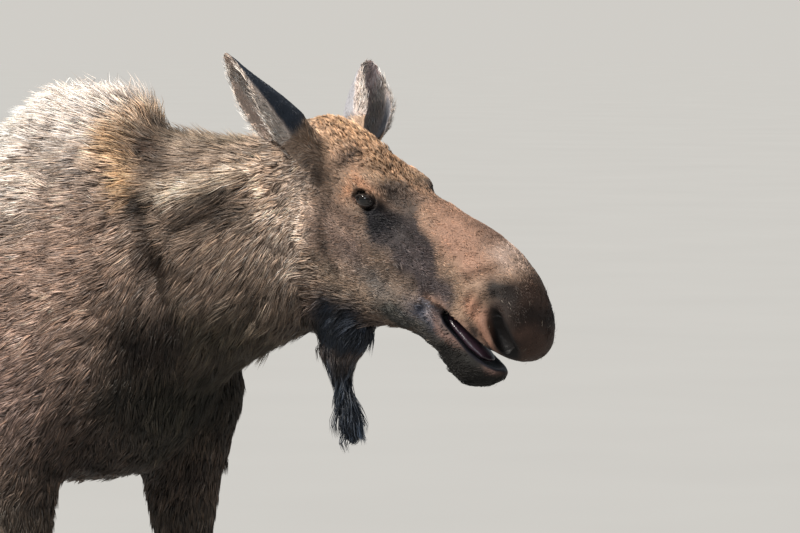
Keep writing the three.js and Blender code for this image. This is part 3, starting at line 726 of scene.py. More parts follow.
HEAD_TINTS = (
    # crown, forehead and brow
    ((0.05, 0.0, 0.0, 0.1, 0.08, 0.05), (64, 42, 28), (198, 156, 119), 1.2),
    ((0.19, 0.0, 0.01, 0.1, 0.06, 0.05), (66, 44, 30), (172, 134, 103), 1.2),
    ((0.245, 0.05, 0.0, 0.04, 0.03, 0.02), (46, 37, 31), (92, 76, 61), 1.4),
    ((0.13, 0.07, -0.03, 0.035, 0.03, 0.035), (56, 42, 34), (134, 108, 92), 0.8),
    ((0.2, 0.02, 0.03, 0.07, 0.05, 0.028), (56, 42, 31), (124, 102, 78), 1.2),
    # bridge and sides of the nose: the side painted paler as lit and the top darker, over the
    # nose's own reddish brown
    ((0.36, 0.0, 0.03, 0.13, 0.06, 0.05), (80, 58, 46), (130, 101, 84), 1.3),
    ((0.42, 0.05, 0.0, 0.085, 0.06, 0.04), (98, 71, 57), (154, 120, 102), 1.3),
    ((0.43, 0.0, 0.042, 0.05, 0.05, 0.026), (66, 49, 40), (106, 83, 71), 1.3),
    # the dark of the face, from under the eye to the lip: dark hair with the brow's shadow painted
    # over it, and the paler cheek
    ((0.16, 0.09, -0.15, 0.085, 0.06, 0.075), (62, 50, 43), (132, 110, 98)),
    ((0.24, 0.09, -0.14, 0.06, 0.06, 0.045), (56, 45, 40), (110, 92, 84)),
    (((0.265, 0.085, -0.055), (0.361, 0.072, -0.084), 0.034), (30, 26, 26), (64, 57, 57), 1.6),
    (((0.298, 0.07, -0.02), (0.365, 0.072, -0.054), 0.018), (27, 23, 23), (58, 51, 51), 1.5),
    (((0.365, 0.072, -0.06), (0.435, 0.062, -0.092), 0.016), (31, 27, 27), (64, 56, 56), 1.4),
    (((0.361, 0.072, -0.086), (0.43, 0.059, -0.108), 0.028), (36, 31, 31), (72, 63, 63), 1.5),
    ((0.32, 0.074, -0.165, 0.06, 0.05, 0.03), (66, 60, 58), (118, 108, 102)),
    ((0.195, 0.098, -0.018, 0.04, 0.05, 0.012), (84, 56, 41), (160, 121, 96), 1.2),
    (((0.237, 0.066, -0.002), (0.29, 0.06, -0.012), 0.015), (34, 27, 24), (74, 62, 55), 1.1),
    ((0.172, 0.098, -0.055, 0.014, 0.05, 0.03), (92, 62, 46), (176, 134, 106)),
    ((0.133, 0.079, -0.014, 0.007, 0.05, 0.02), (30, 22, 18), (58, 44, 36), 1.3),
    # darkest before the eye: dark skin with painted shade under the brow
    ((0.248, 0.088, -0.058, 0.04, 0.05, 0.02), (12, 11, 13), (28, 26, 30), 2.0),
    ((0.225, 0.092, -0.036, 0.044, 0.05, 0.007), (16, 13, 13), (34, 28, 27), 1.2),
    # back of the cheek, jaw and throat
    ((0.02, 0.08, -0.13, 0.055, 0.07, 0.1), (88, 70, 58), (206, 180, 160), 1.2),
    (((0.05, 0.09, -0.09), (0.16, 0.082, -0.26), 0.03), (118, 99, 86), (224, 201, 184), 1.2),
    # painted shade behind the cheek
    (((0.162, 0.095, -0.118), (0.206, 0.09, -0.19), 0.017), (40, 31, 27), (86, 71, 62), 1.0),
    ((0.222, 0.08, -0.212, 0.038, 0.05, 0.024), (34, 28, 24), (78, 66, 58), 1.2),
    ((0.203, 0.095, -0.092, 0.02, 0.05, 0.014), (46, 36, 31), (98, 79, 69)),
    ((0.088, 0.1, -0.08, 0.03, 0.05, 0.03), (40, 32, 28), (84, 70, 62), 0.9),
    ((0.24, 0.07, -0.235, 0.08, 0.06, 0.035), (66, 55, 48), (128, 110, 94), 0.9),
    # the side of the jaw: dark hair with the face's shade painted in
    ((0.38, 0.05, -0.195, 0.06, 0.06, 0.03), (34, 33, 31), (62, 60, 56), 1.4),
    # the tuft above the bell and the bell below it: dark hair with the bluish cast of shade
    # painted in
    ((0.29, 0.0, -0.285, 0.075, 0.09, 0.045), (17, 19, 24), (56, 62, 73), 2.0),
    ((0.276, 0.0, -0.362, 0.056, 0.07, 0.056), (16, 18, 22), (50, 56, 66), 2.0),
    # muzzle, lips and chin
    ((0.605, 0.03, -0.045, 0.08, 0.1, 0.072), (17, 11, 8), (34, 23, 18), 1.9),
    ((0.54, 0.055, -0.01, 0.034, 0.07, 0.018), (13, 9, 8), (26, 19, 16), 1.5),
    # pale hair on top of the nose, with a painted highlight on it
    ((0.5, 0.01, 0.036, 0.034, 0.04, 0.016), (88, 70, 61), (166, 144, 132), 1.3),
    ((0.6, 0.0, 0.015, 0.06, 0.05, 0.024), (48, 34, 28), (90, 68, 57), 0.9),
    ((0.655, 0.02, -0.045, 0.02, 0.06, 0.05), (42, 29, 23), (76, 55, 45), 0.8),
    ((0.628, 0.06, -0.05, 0.02, 0.05, 0.014), (46, 32, 26), (84, 62, 52), 0.9),
    ((0.52, 0.07, -0.072, 0.034, 0.05, 0.022), (80, 56, 44), (146, 109, 90), 1.2),
    (((0.56, 0.074, -0.074), (0.615, 0.066, -0.102), 0.011), (84, 60, 48), (140, 104, 86), 0.8),
    (((0.425, 0.046, -0.124), (0.58, 0.055, -0.124), 0.013), (112, 82, 68), (196, 158, 138), 1.1),
    # the corner of the mouth: dark skin painted bluish grey as shade
    ((0.425, 0.05, -0.155, 0.035, 0.04, 0.022), (40, 41, 49), (70, 71, 82), 1.5),
    # painted shade on the upper lip beside the nostril
    ((0.545, 0.06, -0.108, 0.022, 0.05, 0.017), (34, 26, 23), (60, 47, 41), 1.2),
    (((0.414, 0.05, -0.13), (0.438, 0.05, -0.154), 0.0075), (116, 112, 120), (196, 186, 190), 1.1),
    # under the chin: dark hair painted near black as shade
    ((0.57, 0.03, -0.19, 0.095, 0.07, 0.05), (7, 5, 4), (15, 12, 9), 2.4),
    (((0.44, 0.05, -0.151), (0.62, 0.022, -0.156), 0.008), (62, 46, 42), (112, 88, 80), 1.0),
)

TINTS = [
    Tint(region(axes, place), *colours)
    for axes, table in ((Axes.BODY, BODY_TINTS), (Axes.HEAD, HEAD_TINTS))
    for place, *colours in table
]


# Where pale whiskers stand out of the short hair, how many of its locks they are, and how
# they grow
WHISKER_SHARE = 0.03
WHISKER = {"length": 0.017, "lift": 0.70, "width": 0.0006}
WHISKER_COLOUR = (150, 140, 128)
WHISKERS = [
    on_head(0.62, 0.05, -0.06, 0.06, 0.05, 0.06),
    on_head(0.53, 0.04, -0.22, 0.08, 0.06, 0.04),
    on_head(0.5, 0.06, -0.12, 0.06, 0.03, 0.02),
]


# Where the mouth is bare: how far its skin turns up or down, and the lip's ends and foot
JAW_TURNED = (0.72, 0.92)
LIP_TURNED = (0.60, 0.88)
LIP_BACK = (0.425, 0.455)
LIP_FRONT = (0.625, 0.600)
LIP_FOOT = (-0.180, -0.165)
NOSTRIL_FRONT = (0.645, 0.610)


class CoatFields:
    """What the tables say at each point of the hide."""

    def __init__(self, places: Places, shares: Array, normals: Array) -> None:
        """Reads every table.

        Args:
            places: Where the points are.
            shares: How much each point belongs to each part.
            normals: The hide's normal at each point.
        """
        self.places = places
        self.shares = shares
        self.normals = normals
        self.traits = self._grow()
        self.root, self.tip = self._dye()
        self._ears()
        self._mouth()
        self.whisker = sum(self._kept(spot) for spot in WHISKERS)
        self.way = self._comb()

    def part(self, *parts: Part) -> Array:
        """How much each point belongs to the given parts."""
        return sum(self.shares[:, PARTS.index(part)] for part in parts)

    def _grow(self) -> dict[str, Array]:
        """Blends the tables of growth."""
        made = {}
        for trait in TRAITS:
            base = np.array([getattr(PART_GROWTH[part], trait) for part in PARTS])
            made[trait] = self.shares @ base
        for growth in GROWTH:
            share = self._kept(growth.spot)
            for trait in TRAITS:
                value = getattr(growth, trait)
                if value is not None:
                    made[trait] += share * (value - made[trait])
        return made

    def _kept(self, spot: Spot | Band) -> Array:
        """A spot's share, kept off the ears, the bell and the wrong end of the body."""
        share = spot.share(self.places)
        off = self.part(Part.EAR, Part.BELL, Part.TAIL)
        if spot.axes is Axes.HEAD:
            return share * (1 - off) * self.part(Part.HEAD, Part.JAW, Part.NECK)
        return share * (1 - off) * (1 - self.part(Part.HEAD, Part.JAW))

    def _dye(self) -> tuple[Array, Array]:
        """Blends the tables of colour."""
        roots = np.array([linear(*PART_TINT[part].root) for part in PARTS])
        tips = np.array([linear(*PART_TINT[part].tip) for part in PARTS])
        root, tip = self.shares @ roots, self.shares @ tips
        wander = np.stack([ripple(self.places.points, 0.09, SEED + k) for k in range(3)], 1)
        moved = Places(self.places.bearings, self.places.points + 0.008 * wander)
        still, self.places = self.places, moved
        for tint in TINTS:
            share = np.clip(self._kept(tint.spot) * tint.strength, 0, 1)[:, None]
            root = root + share * (linear(*tint.root) - root)
            tip = tip + share * (linear(*tint.tip) - tip)
        self.places = still
        return root, tip

    def _ears(self) -> None:
        """Gives the ears their own growth and colours, inside and outside."""
        here = self.places.open[Axes.HEAD]
        turned = self.normals @ self.places.bearings.turn.T
        whole = self.part(Part.EAR)
        traits = self.traits
        self.ear_way = np.zeros_like(here)
        for ear in EARS:
            root = np.array(ear.root)
            along = unit(np.array(ear.along, float))
            opening = unit(np.array(ear.opening, float))
            mine = whole * (here[:, 1] * np.sign(root[1]) > 0)
            up = ((here - root) @ along) / ear.LENGTH
            inner = mine * ease(*ear.INSIDE, turned @ opening)
            across = np.cross(along, opening)
            aside = (here - root) @ across
            self.ear_way += mine[:, None] * self.places.bearings.head_way(along)
            cross = -np.sign(aside)[:, None] * across * 0.9 + along * 0.8
            self.ear_way += inner[:, None] * self.places.bearings.head_way(cross)
            rim = inner * ease(*ear.RIM, np.abs(aside))
            traits["length"] += inner * (ear.HAIR - traits["length"]) + rim * inner * ear.FRINGE
            self.pull(inner, width=0.0010, lift=0.42, crowd=70000)
            traits["stray"] += inner * 0.25
            within = mine * np.maximum(
                ease(*ear.edge, turned @ opening), ease(*ear.back, aside)
            )
            self.paint((mine - within) * ease(*ear.FOOT, up), *ear.outer)
            self.paint(within, *ear.inner)
            # painted shade deep in the hollow of the ear
            hollow_shade = inner * ease(*ear.HOLLOW_SHADE_UP, up) * ease(*ear.HOLLOW_SHADE_ACROSS, np.abs(aside))
            self.paint(hollow_shade, (30, 31, 40), (50, 52, 66), ear.depth)
            edge = np.minimum(rim, within)
            self.paint(edge, (150, 140, 132), (230, 218, 208), 0.85)

    def pull(self, share: Array, **values: float) -> None:
        """Draws traits of the hair towards the given values.

        Args:
            share: How far at each point, from 0 to 1.
            **values: The value of each named trait.
        """
        for name, value in values.items():
            self.traits[name] += share * (value - self.traits[name])

    def paint(self, share: Array, root: Triple, tip: Triple, strength: float = 1.0) -> None:
        """Lays colours over what is there.

        Args:
            share: How much of them shows at each point.
            root: The colour of the hair at its root, from 0 to 255.
            tip: The same at its tip.
            strength: What the share is multiplied by before it is held to 1.
        """
        part = np.clip(share * strength, 0, 1)[:, None]
        self.root += part * (linear(*root) - self.root)
        self.tip += part * (linear(*tip) - self.tip)

    def _mouth(self) -> None:
        """Bares the inside of the mouth and of the nostrils and paints it dark: dark skin with
        painted shade in the mouth, painted shade in the nostrils.
        """
        here = self.places.folded[Axes.HEAD]
        turned = self.normals @ self.places.bearings.turn.T
        jaw_top = self.part(Part.JAW) * ease(*JAW_TURNED, turned[:, 2])
        lip_under = self.part(Part.HEAD) * ease(*LIP_TURNED, -turned[:, 2])
        lip_under = lip_under * ease(*LIP_BACK, here[:, 0]) * ease(*LIP_FOOT, here[:, 2])
        lip_under = lip_under * ease(*LIP_FRONT, here[:, 0])
        nostril = NOSTRIL.share(self.places)
        rim = NOSTRIL_RIM.share(self.places) * ease(*NOSTRIL_FRONT, here[:, 0])
        self.paint(rim, (78, 56, 46), (130, 96, 80), 0.6)
        bare = np.clip(jaw_top + lip_under + nostril, 0, 1)
        self.bare = bare
        self.traits["crowd"] *= 1 - bare
        # the inside of the mouth painted near black, dark skin with painted shade; the nostril's
        # dent painted near black as the shade of its opening
        self.paint(jaw_top, (22, 22, 28), (28, 28, 34))
        self.paint(lip_under, (22, 20, 22), (30, 28, 30))
        self.paint(nostril, (10, 8, 8), (14, 11, 11))
        self.damp = np.clip(0.9 * jaw_top + 0.8 * lip_under + 0.5 * nostril, 0, 1)

    def _comb(self) -> Array:
        """Blends the ways that the hair lies, in the surface."""
        body = self._guided(Axes.BODY, BODY_LIE)
        head = self._guided(Axes.HEAD, HEAD_LIE)
        down = np.tile(np.array([0.0, 0.0, -1.0]), (len(body), 1))
        way = body * self.part(Part.TRUNK, Part.NECK)[:, None]
        way = way + head * self.part(Part.HEAD, Part.JAW)[:, None]
        hanging = self.part(Part.BELL, Part.TAIL, Part.FORELEG, Part.HINDLEG)
        way = way + down * hanging[:, None]
        way = way + unit(self.ear_way) * self.part(Part.EAR)[:, None] * 1.5
        drift = np.stack([ripple(self.places.points, 0.11, SEED + 9 + k) for k in range(3)], 1)
        return along_surface(unit(way) + 0.12 * drift, self.normals)

    def _guided(self, axes: Axes, table: tuple) -> Array:
        """The mean of a table's ways, each with its place's share.

        Args:
            axes: The axes that the table is in.
            table: Its rows.

        Returns:
            One direction of the scene for each point.
        """
        total = np.zeros_like(self.places.points)
        for place, way in table:
            share = region(axes, place).share(self.places) + 1e-12
            total += share[:, None] * unit(self.places.ways(axes, way))
        return unit(total)


@dataclass(frozen=True)
class Hollow:
    """A tilted round hollow on both sides of the head."""

    place: Triple
    size: Triple
    roll: float
    dip: float
    turn: float
    edge: float = 0.25  # how softly it ends, in its own sizes

    def share(self, places: Places) -> Array:
        """How much each point lies in it."""
        away = places.folded[Axes.HEAD] - np.array(self.place)
        c, s = math.cos(self.dip), math.sin(self.dip)
        dip = np.array([[c, 0, s], [0, 1, 0], [-s, 0, c]])
        c, s = math.cos(self.roll), math.sin(self.roll)
        roll = np.array([[1, 0, 0], [0, c, -s], [0, s, c]])
        c, s = math.cos(self.turn), math.sin(self.turn)
        turn = np.array([[c, -s, 0], [s, c, 0], [0, 0, 1]])
        local = away @ (roll @ dip @ turn) / np.array(self.size)
        return ease(1.08 + self.edge, 1.08 - self.edge, np.linalg.norm(local, axis=1))


NOSTRIL = Hollow((0.601, 0.064, -0.076), (0.058, 0.040, 0.0200), 0.4, 0.53, -0.3)
NOSTRIL_RIM = Hollow((0.590, 0.068, -0.094), (0.060, 0.040, 0.024), 0.4, 0.53, -0.3)


# The hide


# Soft rises of the hide, and hollows where the height is below zero
HEAD_MOUNDS = (
    # brow, temple, the fold before the ear and the pit before the eye
    (((0.165, 0.095, -0.018), (0.235, 0.074, -0.002), 0.011), 0.0065),
    (((0.25, 0.084, -0.036), (0.3, 0.078, -0.052), 0.013), -0.0065),
    ((0.133, 0.079, -0.014, 0.007, 0.04, 0.022), -0.006),
    ((0.15, 0.08, -0.075, 0.022, 0.03, 0.02), -0.003),
    # cheek, crest under the eye and the hollow before it
    ((0.13, 0.09, -0.175, 0.055, 0.05, 0.05), 0.0055),
    ((0.27, 0.085, -0.105, 0.09, 0.03, 0.012), 0.0032),
    ((0.34, 0.08, -0.15, 0.05, 0.03, 0.022), -0.0045),
    (((0.29, 0.085, -0.045), (0.47, 0.068, -0.088), 0.024), -0.008),
    (((0.31, 0.07, 0.0), (0.49, 0.066, -0.04), 0.024), 0.006),
    ((0.24, 0.092, -0.125, 0.075, 0.03, 0.03), 0.006),
    ((0.105, 0.085, -0.05, 0.045, 0.03, 0.028), 0.004),
    ((0.175, 0.092, -0.11, 0.03, 0.03, 0.014), -0.003),
    # arch of the nose, and the crease behind the muzzle
    ((0.49, 0.0, 0.05, 0.11, 0.06, 0.05), 0.01),
    ((0.23, 0.04, 0.02, 0.04, 0.025, 0.03), 0.005),
    (((0.476, 0.066, -0.038), (0.496, 0.06, 0.0), 0.011, 1.0), -0.005),
    (((0.496, 0.06, 0.0), (0.516, 0.04, 0.026), 0.011, 1.0), -0.003),
    (((0.455, 0.066, -0.032), (0.48, 0.06, 0.004), 0.011, 1.0), 0.003),
    (((0.518, 0.07, -0.03), (0.54, 0.062, 0.004), 0.014, 1.0), 0.0045),
    ((0.655, 0.0, -0.05, 0.034, 0.06, 0.048), 0.0075),
    ((0.55, 0.0, -0.205, 0.05, 0.06, 0.022), 0.006),
    # wings of the nostril, upper lip and the folds at the corner of the mouth
    (((0.566, 0.074, -0.053), (0.636, 0.056, -0.094), 0.0125, 0.8), -0.017),
    (((0.55, 0.074, -0.08), (0.61, 0.066, -0.112), 0.01, 0.8), 0.0055),
    (((0.556, 0.074, -0.024), (0.61, 0.066, -0.046), 0.012, 1.0), 0.004),
    ((0.524, 0.068, -0.066, 0.006, 0.03, 0.022), -0.004),
    ((0.51, 0.068, -0.066, 0.006, 0.03, 0.022), 0.0035),
    ((0.496, 0.066, -0.066, 0.006, 0.03, 0.02), -0.0035),
    ((0.482, 0.064, -0.066, 0.007, 0.03, 0.02), 0.003),
    (((0.43, 0.05, -0.122), (0.575, 0.058, -0.122), 0.01), 0.0045),
    (((0.424, 0.052, -0.138), (0.452, 0.046, -0.147), 0.0055), -0.005),
    ((0.418, 0.06, -0.14, 0.009, 0.03, 0.022), -0.0042),
    ((0.4, 0.062, -0.14, 0.009, 0.03, 0.024), 0.004),
    ((0.382, 0.064, -0.14, 0.008, 0.03, 0.022), -0.003),
)

BODY_MOUNDS = (
    # shoulder blade, point of the shoulder, elbow and breast
    ((0.1, 0.2, 1.52, 0.06, 0.2, 0.18), 0.01),
    ((0.22, 0.16, 1.25, 0.07, 0.12, 0.08), 0.012),
    ((0.0, 0.21, 1.14, 0.07, 0.1, 0.07), 0.01),
    ((-0.13, 0.22, 1.3, 0.06, 0.2, 0.18), -0.008),
    (((0.255, 0.13, 1.62), (0.29, 0.14, 1.49), 0.026), -0.019),
    (((0.29, 0.14, 1.49), (0.315, 0.13, 1.39), 0.028), -0.015),
    (((0.53, 0.05, 1.692), (0.28, 0.12, 1.622), 0.022), 0.012),
    (((0.49, 0.08, 1.636), (0.36, 0.12, 1.578), 0.02), -0.013),
    ((0.11, 0.0, 1.8, 0.07, 0.08, 0.1), 0.02),
    (((0.17, 0.2, 1.6), (0.24, 0.19, 1.34), 0.045), 0.008),
    # groove along the neck
    ((0.42, 0.11, 1.46, 0.16, 0.08, 0.022), -0.005),
    # flank, last rib, hip bone, stifle and the muscles of the thigh
    ((-0.98, 0.25, 1.47, 0.1, 0.14, 0.12), -0.016),
    ((-0.84, 0.29, 1.38, 0.06, 0.12, 0.22), 0.006),
    ((-1.13, 0.2, 1.62, 0.07, 0.1, 0.06), 0.012),
    ((-1.04, 0.22, 1.16, 0.08, 0.12, 0.08), 0.01),
    ((-1.33, 0.2, 1.34, 0.08, 0.12, 0.16), 0.008),
    ((-1.22, 0.24, 1.22, 0.05, 0.12, 0.16), -0.006),
)

MOUNDS = [(region(Axes.HEAD, place), rise) for place, rise in HEAD_MOUNDS]
MOUNDS += [(region(Axes.BODY, place), rise) for place, rise in BODY_MOUNDS]


# The eyes, nostrils and lips, where less is smoothed away
FINE_PLACES = (
    (on_head(0.212, 0.085, -0.047, 0.045), 0.0035),
    (on_head(0.59, 0.072, -0.08, 0.06, 0.05, 0.05), 0.004),
    (on_head(0.52, 0.05, -0.15, 0.11, 0.08, 0.045), 0.005),
)


@dataclass
class Hide:
    """The one skin that covers head, neck, body, legs, ears, bell and tail."""

    bearings: Bearings
    flesh: Flesh
    swell: float = 0.0006
    voxel: float = 0.004
    rounds: int = 150
    triangles: int = 176_000
    claw_rise: float = 0.016  # how far the pastern swells out to the small claws
    claw_reach: float = 0.027
    spread: dict[Part, float] = field(
        default_factory=lambda: {
            Part.TRUNK: 0.030,
            Part.NECK: 0.028,
            Part.HEAD: 0.0095,
            Part.JAW: 0.0050,
            Part.EAR: 0.0042,
            Part.BELL: 0.010,
            Part.TAIL: 0.010,
            Part.FORELEG: 0.012,
            Part.HINDLEG: 0.013,
        }
    )

    def build(self) -> bpy.types.Object:
        """Makes the hide up to its unwrap, without its finish."""
        self.obj = self._gather()
        surface = Surface(self.obj.data)
        shares = self.flesh.shares(surface, 10)
        surface.points = self._smoothed(surface, shares)
        self._sculpt(surface)
        self._sink(surface, shares)
        surface.store()
        self._thin(shares)
        return self.obj

    def _gather(self) -> bpy.types.Object:
        """Joins the swollen solids and makes one even net of them."""
        whole = bmesh.new()
        for name in self.flesh.names:
            shape = merged_copy(name, self.swell)
            part = bpy.data.meshes.new(name)
            shape.to_mesh(part)
            shape.free()
            whole.from_mesh(part)
            bpy.data.meshes.remove(part)
        obj = piece_of("hide", whole)
        even_net(obj, self.voxel)
        return obj

    def _smoothed(self, surface: Surface, shares: Array) -> Array:
        """The net with the facets of the solids smoothed out of it."""
        reach = shares @ np.array([self.spread[part] for part in PARTS])
        places = Places(self.bearings, surface.points)
        for spot, small in FINE_PLACES:
            reach += spot.share(places) * (np.minimum(small, reach) - reach)
        share = np.minimum(2 * reach**2 / (self.rounds * self.voxel**2), 0.95)
        return surface.blur(surface.points, self.rounds, share)

    def _sculpt(self, surface: Surface) -> None:
        """Raises muscle and bone, and presses in the hollows."""
        places = Places(self.bearings, surface.points)
        rise = sum(height * spot.share(places) for spot, height in MOUNDS)
        for node in sorted(frame["nodes"]):
            if "dewclaw" in node:
                away = np.linalg.norm(surface.points - Bearings.middle(node), axis=1)
                rise += self.claw_rise * np.exp(-((away / self.claw_reach) ** 2))
        surface.points += surface.normals() * rise[:, None]

    def _sink(self, surface: Surface, shares: Array) -> None:
        """Draws the hide in by the depth of the coat."""
        normals = surface.normals()
        fields = CoatFields(Places(self.bearings, surface.points), shares, normals)
        depth = surface.blur(fields.traits["depth"], 10, 0.6)
        surface.points -= normals * depth[:, None]
        surface.points = surface.blur(surface.points, 4, 0.3)

    def _thin(self, shares: Array) -> None:
        """Leaves fewer triangles on the body and all of them on the head."""
        columns = [PARTS.index(p) for p in (Part.HEAD, Part.JAW, Part.EAR)]
        kept = shares[:, columns].sum(axis=1) > 0.5
        group = self.obj.vertex_groups.new(name="body")
        group.add(np.flatnonzero(~kept).tolist(), 1.0, "REPLACE")
        thin = self.obj.modifiers.new("thin", "DECIMATE")
        thin.ratio = self.triangles / (2 * len(self.obj.data.polygons))
        thin.vertex_group = group.name
        thin.vertex_group_factor = 1.0
        thin.use_collapse_triangulate = True
        settle(self.obj)
        self.obj.vertex_groups.clear()


# Rings of a lid: size in slits, how far off the ball, and how much it follows the face
LID_RINGS = (
    (0.93, -0.0016, 0.0), (0.98, -0.0002, 0.0), (1.01, 0.0012, 0.0), (1.06, 0.0021, 0.0),
    (1.14, 0.0027, 0.0), (1.24, 0.0026, 0.04), (1.36, 0.0004, 0.10), (1.50, 0.0040, 0.20),
    (1.66, 0.0062, 0.32), (1.84, 0.0030, 0.46), (2.02, 0.0070, 0.62), (2.26, 0.0052, 0.80),
    (2.56, 0.0028, 0.94), (2.90, 0.0008, 1.0), (3.25, 0.0000, 1.0),
)


@dataclass
class Lids:
    """The lids of one eye: from the rim that lies on the ball to the face around it."""

    bearings: Bearings
    side: int
    ball: float = 0.0200
    half_length: float = 0.0148
    rise_above: float = 0.0078
    rise_below: float = 0.0070
    tilt: float = -0.32  # how far the inner corner lies below the face's own line
    steps: int = 56

    def axes(self) -> tuple[Array, Array, Array, Array]:
        """The middle of the ball, the way it looks, and the ways along and across the slit."""
        name = "eye_left" if self.side > 0 else "eye_right"
        middle = self.bearings.middle(name)
        gaze = unit(self.bearings.head_way((0.10, self.side * 1.0, 0.02)))
        along = self.bearings.head_way((math.cos(self.tilt), 0, -math.sin(self.tilt)))
        along = unit(along - gaze * (along @ gaze))
        up = np.cross(gaze, along) * self.side
        up = up if up @ self.bearings.head_way((0, 0, 1)) > 0 else -up
        return middle, gaze, along, unit(up)

    def add_to(self, hide: bmesh.types.BMesh, tree: BVHTree) -> list[bmesh.types.BMVert]:
        """Adds the lids to the hide's own mesh.

        Args:
            hide: The mesh that they join.
            tree: The face around the eye before it is pressed in.

        Returns:
            The new points.
        """
        middle, gaze, _, _ = self.axes()
        loops = [
            [hide.verts.new(Vector(point)) for point in self._ring(tree, *ring)]
            for ring in LID_RINGS
        ]
        inner = self._closed(hide, loops[0])
        for loop in loops[1:]:
            outer = self._closed(hide, loop)
            bmesh.ops.bridge_loops(hide, edges=inner + outer)
            inner = outer
        new = [vert for loop in loops for vert in loop]
        for face in {face for vert in new for face in vert.link_faces}:
            face.normal_update()
            away = face.calc_center_median() - Vector(middle)
            if face.normal @ Vector(gaze) < 0 and away.length > self.ball:
                face.normal_flip()
        return new

    def _ring(self, tree: BVHTree, scale: float, off: float, follow: float) -> list[Array]:
        """The points of one ring of the lids.

        Args:
            tree: The face around the eye before it is pressed in.
            scale: The ring's size, in sizes of the slit.
            off: How far it stands off the ball.
            follow: How much it follows the face and not the ball.

        Returns:
            One point for each step round the slit.
        """
        middle, gaze, along, up = self.axes()
        round_out = ease(1.0, 2.6, np.array(scale)).item()
        reach = self.half_length * (1 + (scale - 1) * 0.72)
        ring = []
        for step in range(self.steps):
            angle = 2 * math.pi * step / self.steps
            c, s = math.cos(angle), math.sin(angle)
            tall = self.rise_above if s > 0 else self.rise_below
            height = tall * scale + round_out * 0.006
            u = reach * c
            v = height * s * (1 - 0.10 * round_out)
            flat = min(math.hypot(u, v), self.ball * 0.97)
            out = math.sqrt(self.ball**2 - flat**2)
            point = middle + gaze * out + along * u + up * v
            point = middle + (point - middle) * (1 + off / self.ball)
            if follow > 0:
                start = middle + along * u + up * v + gaze * 0.06
                hit = tree.ray_cast(Vector(start), Vector(-gaze), 0.12)[0]
                if hit is not None:
                    face = np.array(hit) + gaze * off * 0.5
                    point = point * (1 - follow) + face * follow
            ring.append(point)
        return ring

    @staticmethod
    def _closed(
        hide: bmesh.types.BMesh, loop: list[bmesh.types.BMVert]
    ) -> list[bmesh.types.BMEdge]:
        """Joins a ring's points in a closed line."""
        return [hide.edges.new(pair) for pair in zip(loop, loop[1:] + loop[:1])]


class CoatPiece(Enum):
    """The joined meshes that the coat is made of."""

    FACE_LEFT = "coat_face_left"
    FACE_RIGHT = "coat_face_right"
    EARS = "coat_ears"
    BELL = "coat_bell"
    NECK_LEFT = "coat_neck_left"
    NECK_RIGHT = "coat_neck_right"
    MANE = "coat_hump"
    SHOULDER_LEFT = "coat_shoulder_left"
    SHOULDER_RIGHT = "coat_shoulder_right"
    SIDE_LEFT = "coat_side_left"
    SIDE_RIGHT = "coat_side_right"
    FORELEGS = "coat_forelegs"
    HINDLEGS = "coat_hindlegs"


PIECES = list(CoatPiece)


@dataclass
class Locks:
    """Arrays that describe many locks of hair, one row for each."""

    root: Array
    normal: Array
    way: Array
    length: Array
    lift: Array
    width: Array
    stray: Array
    clump: Array
    curl: Array
    dark: Array
    pale: Array
    unwrap: Array
    piece: Array

    def only(self, keep: Array) -> "Locks":
        """The locks that are kept."""
        return Locks(**{name: value[keep] for name, value in vars(self).items()})


# How wide a lock is at each station, by how many sections it has
FATNESS = {
    1: (0.0, 1.0, 0.0),
    2: (0.0, 1.0, 0.72, 0.0),
    3: (0.0, 0.85, 1.0, 0.72, 0.0),
}


@dataclass(frozen=True)
class Tones:
    """How far the locks differ in tone."""

    lock: float = 0.26
    clump: float = 0.22
    even_behind: float = 0.55
    even_short: float = 0.35
    short_pale: float = 0.60  # how far a short lock's root goes to its tip's colour
    warmth: float = 0.05
    patches: tuple[tuple[float, float], ...] = ((0.10, 0.10), (0.10, 0.035), (0.09, 0.012))
    pale_over: float = 0.90
    dark_under: float = 0.12


TONES = Tones()


